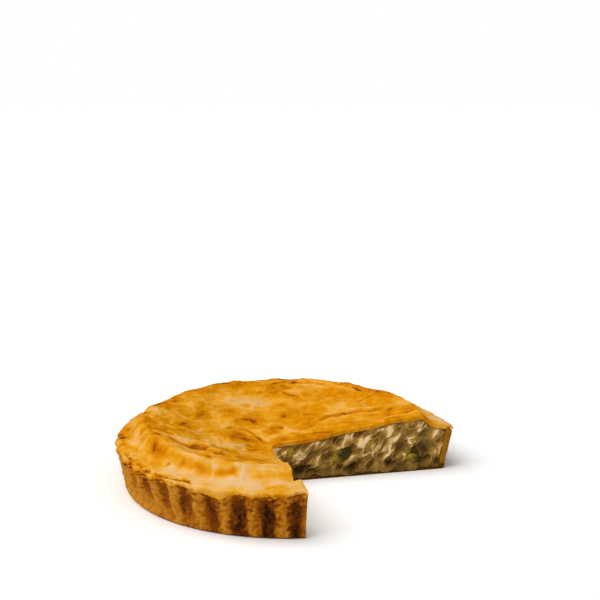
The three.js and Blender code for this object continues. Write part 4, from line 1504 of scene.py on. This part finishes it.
class COD_PIE_OT_herb_specks(Operator):
    """Press chopped herb and pepper specks into both cuts of the filling"""

    bl_idname = "cod_pie.herb_specks"
    bl_label = "Herb Specks"

    def execute(self, context):
        sizes = context.scene.cod_pie_sizes
        draw = random.Random(SPECK_SEED)
        bm = bmesh.new()
        bmesh.ops.create_icosphere(bm, subdivisions=1, radius=1)
        shape = shape_vertices(bm)
        copies = []
        while len(copies) < sizes.speck_count:
            on_b = len(copies) % 4 < 3
            cut = CUT_B if on_b else CUT_A
            along = draw.uniform(*(SECOND_CUT_STRETCH if on_b else FIRST_CUT_STRETCH))
            ceiling = lid_level_at(APEX + along * direction(cut)) - LID_THICKNESS
            up = lerp(BASE_THICKNESS, ceiling, draw.uniform(0.22, 0.86))
            size = draw.uniform(0.25, 0.7)
            here = np.array((along,)), np.array((up,))
            if on_b:
                depth = clean_face(*here) + broken_back(*here)
            else:
                depth = torn_face(*here, sizes.tear_depth / MM)
            spin = draw.uniform(0, math.pi)
            wide = shape[:, 0] * size * draw.uniform(0.8, 1.7)
            across, tall = turned(wide, shape[:, 1] * size, spin)
            out = shape[:, 2] * 0.3 * size - depth + 0.1
            copies.append(on_cut(cut, along + across, up + tall, out))
        mesh = repeated("herb_specks", bm, copies)
        material = material_of(chopped_herb, context.scene.cod_pie_colours)
        finish_piece("herb_specks", mesh, material, sharp=180)
        return {"FINISHED"}


class COD_PIE_OT_pastry_flakes(Operator):
    """Scatter lifted pastry flakes along the rim"""

    bl_idname = "cod_pie.pastry_flakes"
    bl_label = "Pastry Flakes"

    def execute(self, context):
        sizes = context.scene.cod_pie_sizes
        lid_edge = partial(lid_edge_radius, raggedness=sizes.rim_raggedness / MM)
        first, last = rim_ends(lid_edge)
        draw = random.Random(FLAKE_SEED)
        bm = bmesh.new()
        bmesh.ops.create_cone(bm, cap_ends=True, cap_tris=True, segments=16, radius1=1, radius2=0.9, depth=2)
        shape = shape_vertices(bm)
        corner = shape[:, :2] / np.maximum(np.hypot(*shape[:, :2].T), WELD)[:, None]
        copies = []
        bakes = []
        for i in range(sizes.flake_count):
            centre, spread = draw.choice(BROAD_FLAKY_SIDES)
            bearing = min(max(draw.gauss(centre, 0.6 * spread) % 360, first + 1.5), last - 1.5)
            inward = abs(draw.gauss(0, 2.2)) + 1.2
            plan = direction(bearing) * (float(lid_edge(np.array(bearing))) - inward)
            long = sizes.flake_length / MM * draw.uniform(0.4, 1.5)
            wide = long * draw.uniform(0.25, 0.55)
            thick = draw.uniform(0.06, 0.14)
            ragged = 1 + 0.6 * grain(flat_points(*corner.T, i * 3.3), 0.6, 2, 80)
            along = shape[:, 0] * long / 2 * ragged
            across = shape[:, 1] * wide / 2 * ragged
            curl = draw.uniform(-0.06, 0.1) * (along**2 + 2 * across**2) / max(long, 1)
            lift = shape[:, 2] * thick + curl
            sideways, outward = turned(along, across, draw.gauss(0, 0.35))
            outward, rise = turned(outward, lift, -draw.uniform(-0.15, 0.3))
            flat = plan + outward[:, None] * direction(bearing) + sideways[:, None] * direction(bearing + 90)
            sunk = draw.choice((0.2, 0.2, 0.2, 1.6, 3.0)) if inward < 1.6 else 0.2
            copies.append(np.column_stack((flat, lid_level_at(plan) - sunk + rise)))
            bakes.append(draw.uniform(0.25, 0.6) + 0.05 * sunk)
        mesh = repeated("rim_flakes", bm, copies, bake=bakes)
        material = material_of(egg_glazed_shortcrust, context.scene.cod_pie_colours)
        finish_piece("rim_flakes", mesh, material, sharp=30)
        return {"FINISHED"}


def studio_world(stage):
    """Soft light from above, dimmer from the back, which the camera sees as plain white."""
    world = bpy.data.worlds.new("studio")
    world.use_nodes = True
    tree = world.node_tree
    tree.nodes.clear()
    seen = add_node(tree, "LightPath", out="Is Camera Ray")
    towards = add_node(tree, "TexCoord", out="Generated")
    rise = add_node(tree, "SeparateXYZ", {"Vector": towards}, "Z")
    backwards = rise.node.outputs["Y"]
    back = add_node(
        tree,
        "MapRange",
        {"Value": backwards, "From Min": -0.2, "From Max": 0.7, "To Min": 1.0, "To Max": 0.3},
        interpolation_type="SMOOTHSTEP",
    )
    even_dome = add_node(
        tree,
        "MapRange",
        {"Value": rise, "From Min": 0.15, "From Max": 1.0, "To Min": stage.horizon, "To Max": stage.overhead},
        interpolation_type="SMOOTHSTEP",
    )
    dome = add_node(tree, "Math", {0: even_dome, 1: back}, operation="MULTIPLY")
    strength = add_node(tree, "MapRange", {"Value": seen, "To Min": dome, "To Max": 1.0})
    glow = add_node(tree, "Background", {"Color": (1.0, 1.0, 1.0, 1.0), "Strength": strength})
    add_node(tree, "OutputWorld", {"Surface": glow})
    return world


class COD_PIE_OT_stage(Operator):
    """Set the plain pale floor, the soft studio light and the camera"""

    bl_idname = "cod_pie.stage"
    bl_label = "Stage"

    def execute(self, context):
        scene = context.scene
        stage = scene.cod_pie_stage
        bm = bmesh.new()
        bmesh.ops.create_circle(bm, cap_ends=True, segments=96, radius=stage.floor_radius)
        floor = bpy.data.objects.new("floor", mesh_from("floor", bm))
        floor.data.materials.append(material_of(matt_floor_paper, scene.cod_pie_colours))
        scene.collection.objects.link(floor)
        scene.world = studio_world(stage)
        scene.view_settings.view_transform = "Standard"

        key = bpy.data.lights.new("soft_key", "SUN")
        key.energy = stage.key_strength
        key.angle = stage.key_softness
        lamp = bpy.data.objects.new("soft_key", key)
        lamp.rotation_euler = (math.pi / 2 - stage.key_height, 0, stage.key_bearing + math.pi / 2)
        scene.collection.objects.link(lamp)

        camera = bpy.data.objects.new("camera", bpy.data.cameras.new("camera"))
        camera.data.lens = stage.lens
        camera.data.sensor_width = SENSOR_WIDTH
        camera.location = stage.camera_place
        camera.rotation_euler = (math.pi / 2 - stage.camera_pitch, 0, -stage.camera_turn)
        scene.collection.objects.link(camera)
        scene.camera = camera
        return {"FINISHED"}


class COD_PIE_PT_sidebar(Panel):
    """Sizes, colours and steps of the cod pie"""

    bl_idname = "COD_PIE_PT_sidebar"
    bl_label = "Cod Pie"
    bl_space_type = "VIEW_3D"
    bl_region_type = "UI"
    bl_category = "Cod Pie"

    def draw(self, context):
        for group in (getattr(context.scene, name) for name in GROUPS):
            box = self.layout.box()
            for name in type(group).__annotations__:
                box.prop(group, name)
        for step in STEPS:
            self.layout.operator(step.bl_idname)


STEPS = (
    COD_PIE_OT_stage,
    COD_PIE_OT_pastry_case,
    COD_PIE_OT_cod_filling,
    COD_PIE_OT_cod_shreds,
    COD_PIE_OT_olive_pieces,
    COD_PIE_OT_herb_specks,
    COD_PIE_OT_pastry_lid,
    COD_PIE_OT_rim_layers,
    COD_PIE_OT_pastry_flakes,
)
GROUPS = {"cod_pie_sizes": CodPieSizes, "cod_pie_colours": CodPieColours, "cod_pie_stage": CodPieStage}


def register():
    for kind in (*GROUPS.values(), *STEPS, COD_PIE_PT_sidebar):
        bpy.utils.register_class(kind)
    for name, group in GROUPS.items():
        setattr(bpy.types.Scene, name, PointerProperty(type=group))


def unregister():
    for name in GROUPS:
        delattr(bpy.types.Scene, name)
    for kind in (COD_PIE_PT_sidebar, *reversed(STEPS), *reversed(GROUPS.values())):
        bpy.utils.unregister_class(kind)


def main():
    register()
    bpy.ops.cod_pie.stage()
    bpy.ops.cod_pie.pastry_case()
    bpy.ops.cod_pie.cod_filling()
    bpy.ops.cod_pie.cod_shreds()
    bpy.ops.cod_pie.olive_pieces()
    bpy.ops.cod_pie.herb_specks()
    bpy.ops.cod_pie.pastry_lid()
    bpy.ops.cod_pie.rim_layers()
    bpy.ops.cod_pie.pastry_flakes()


if __name__ == "__main__":
    main()
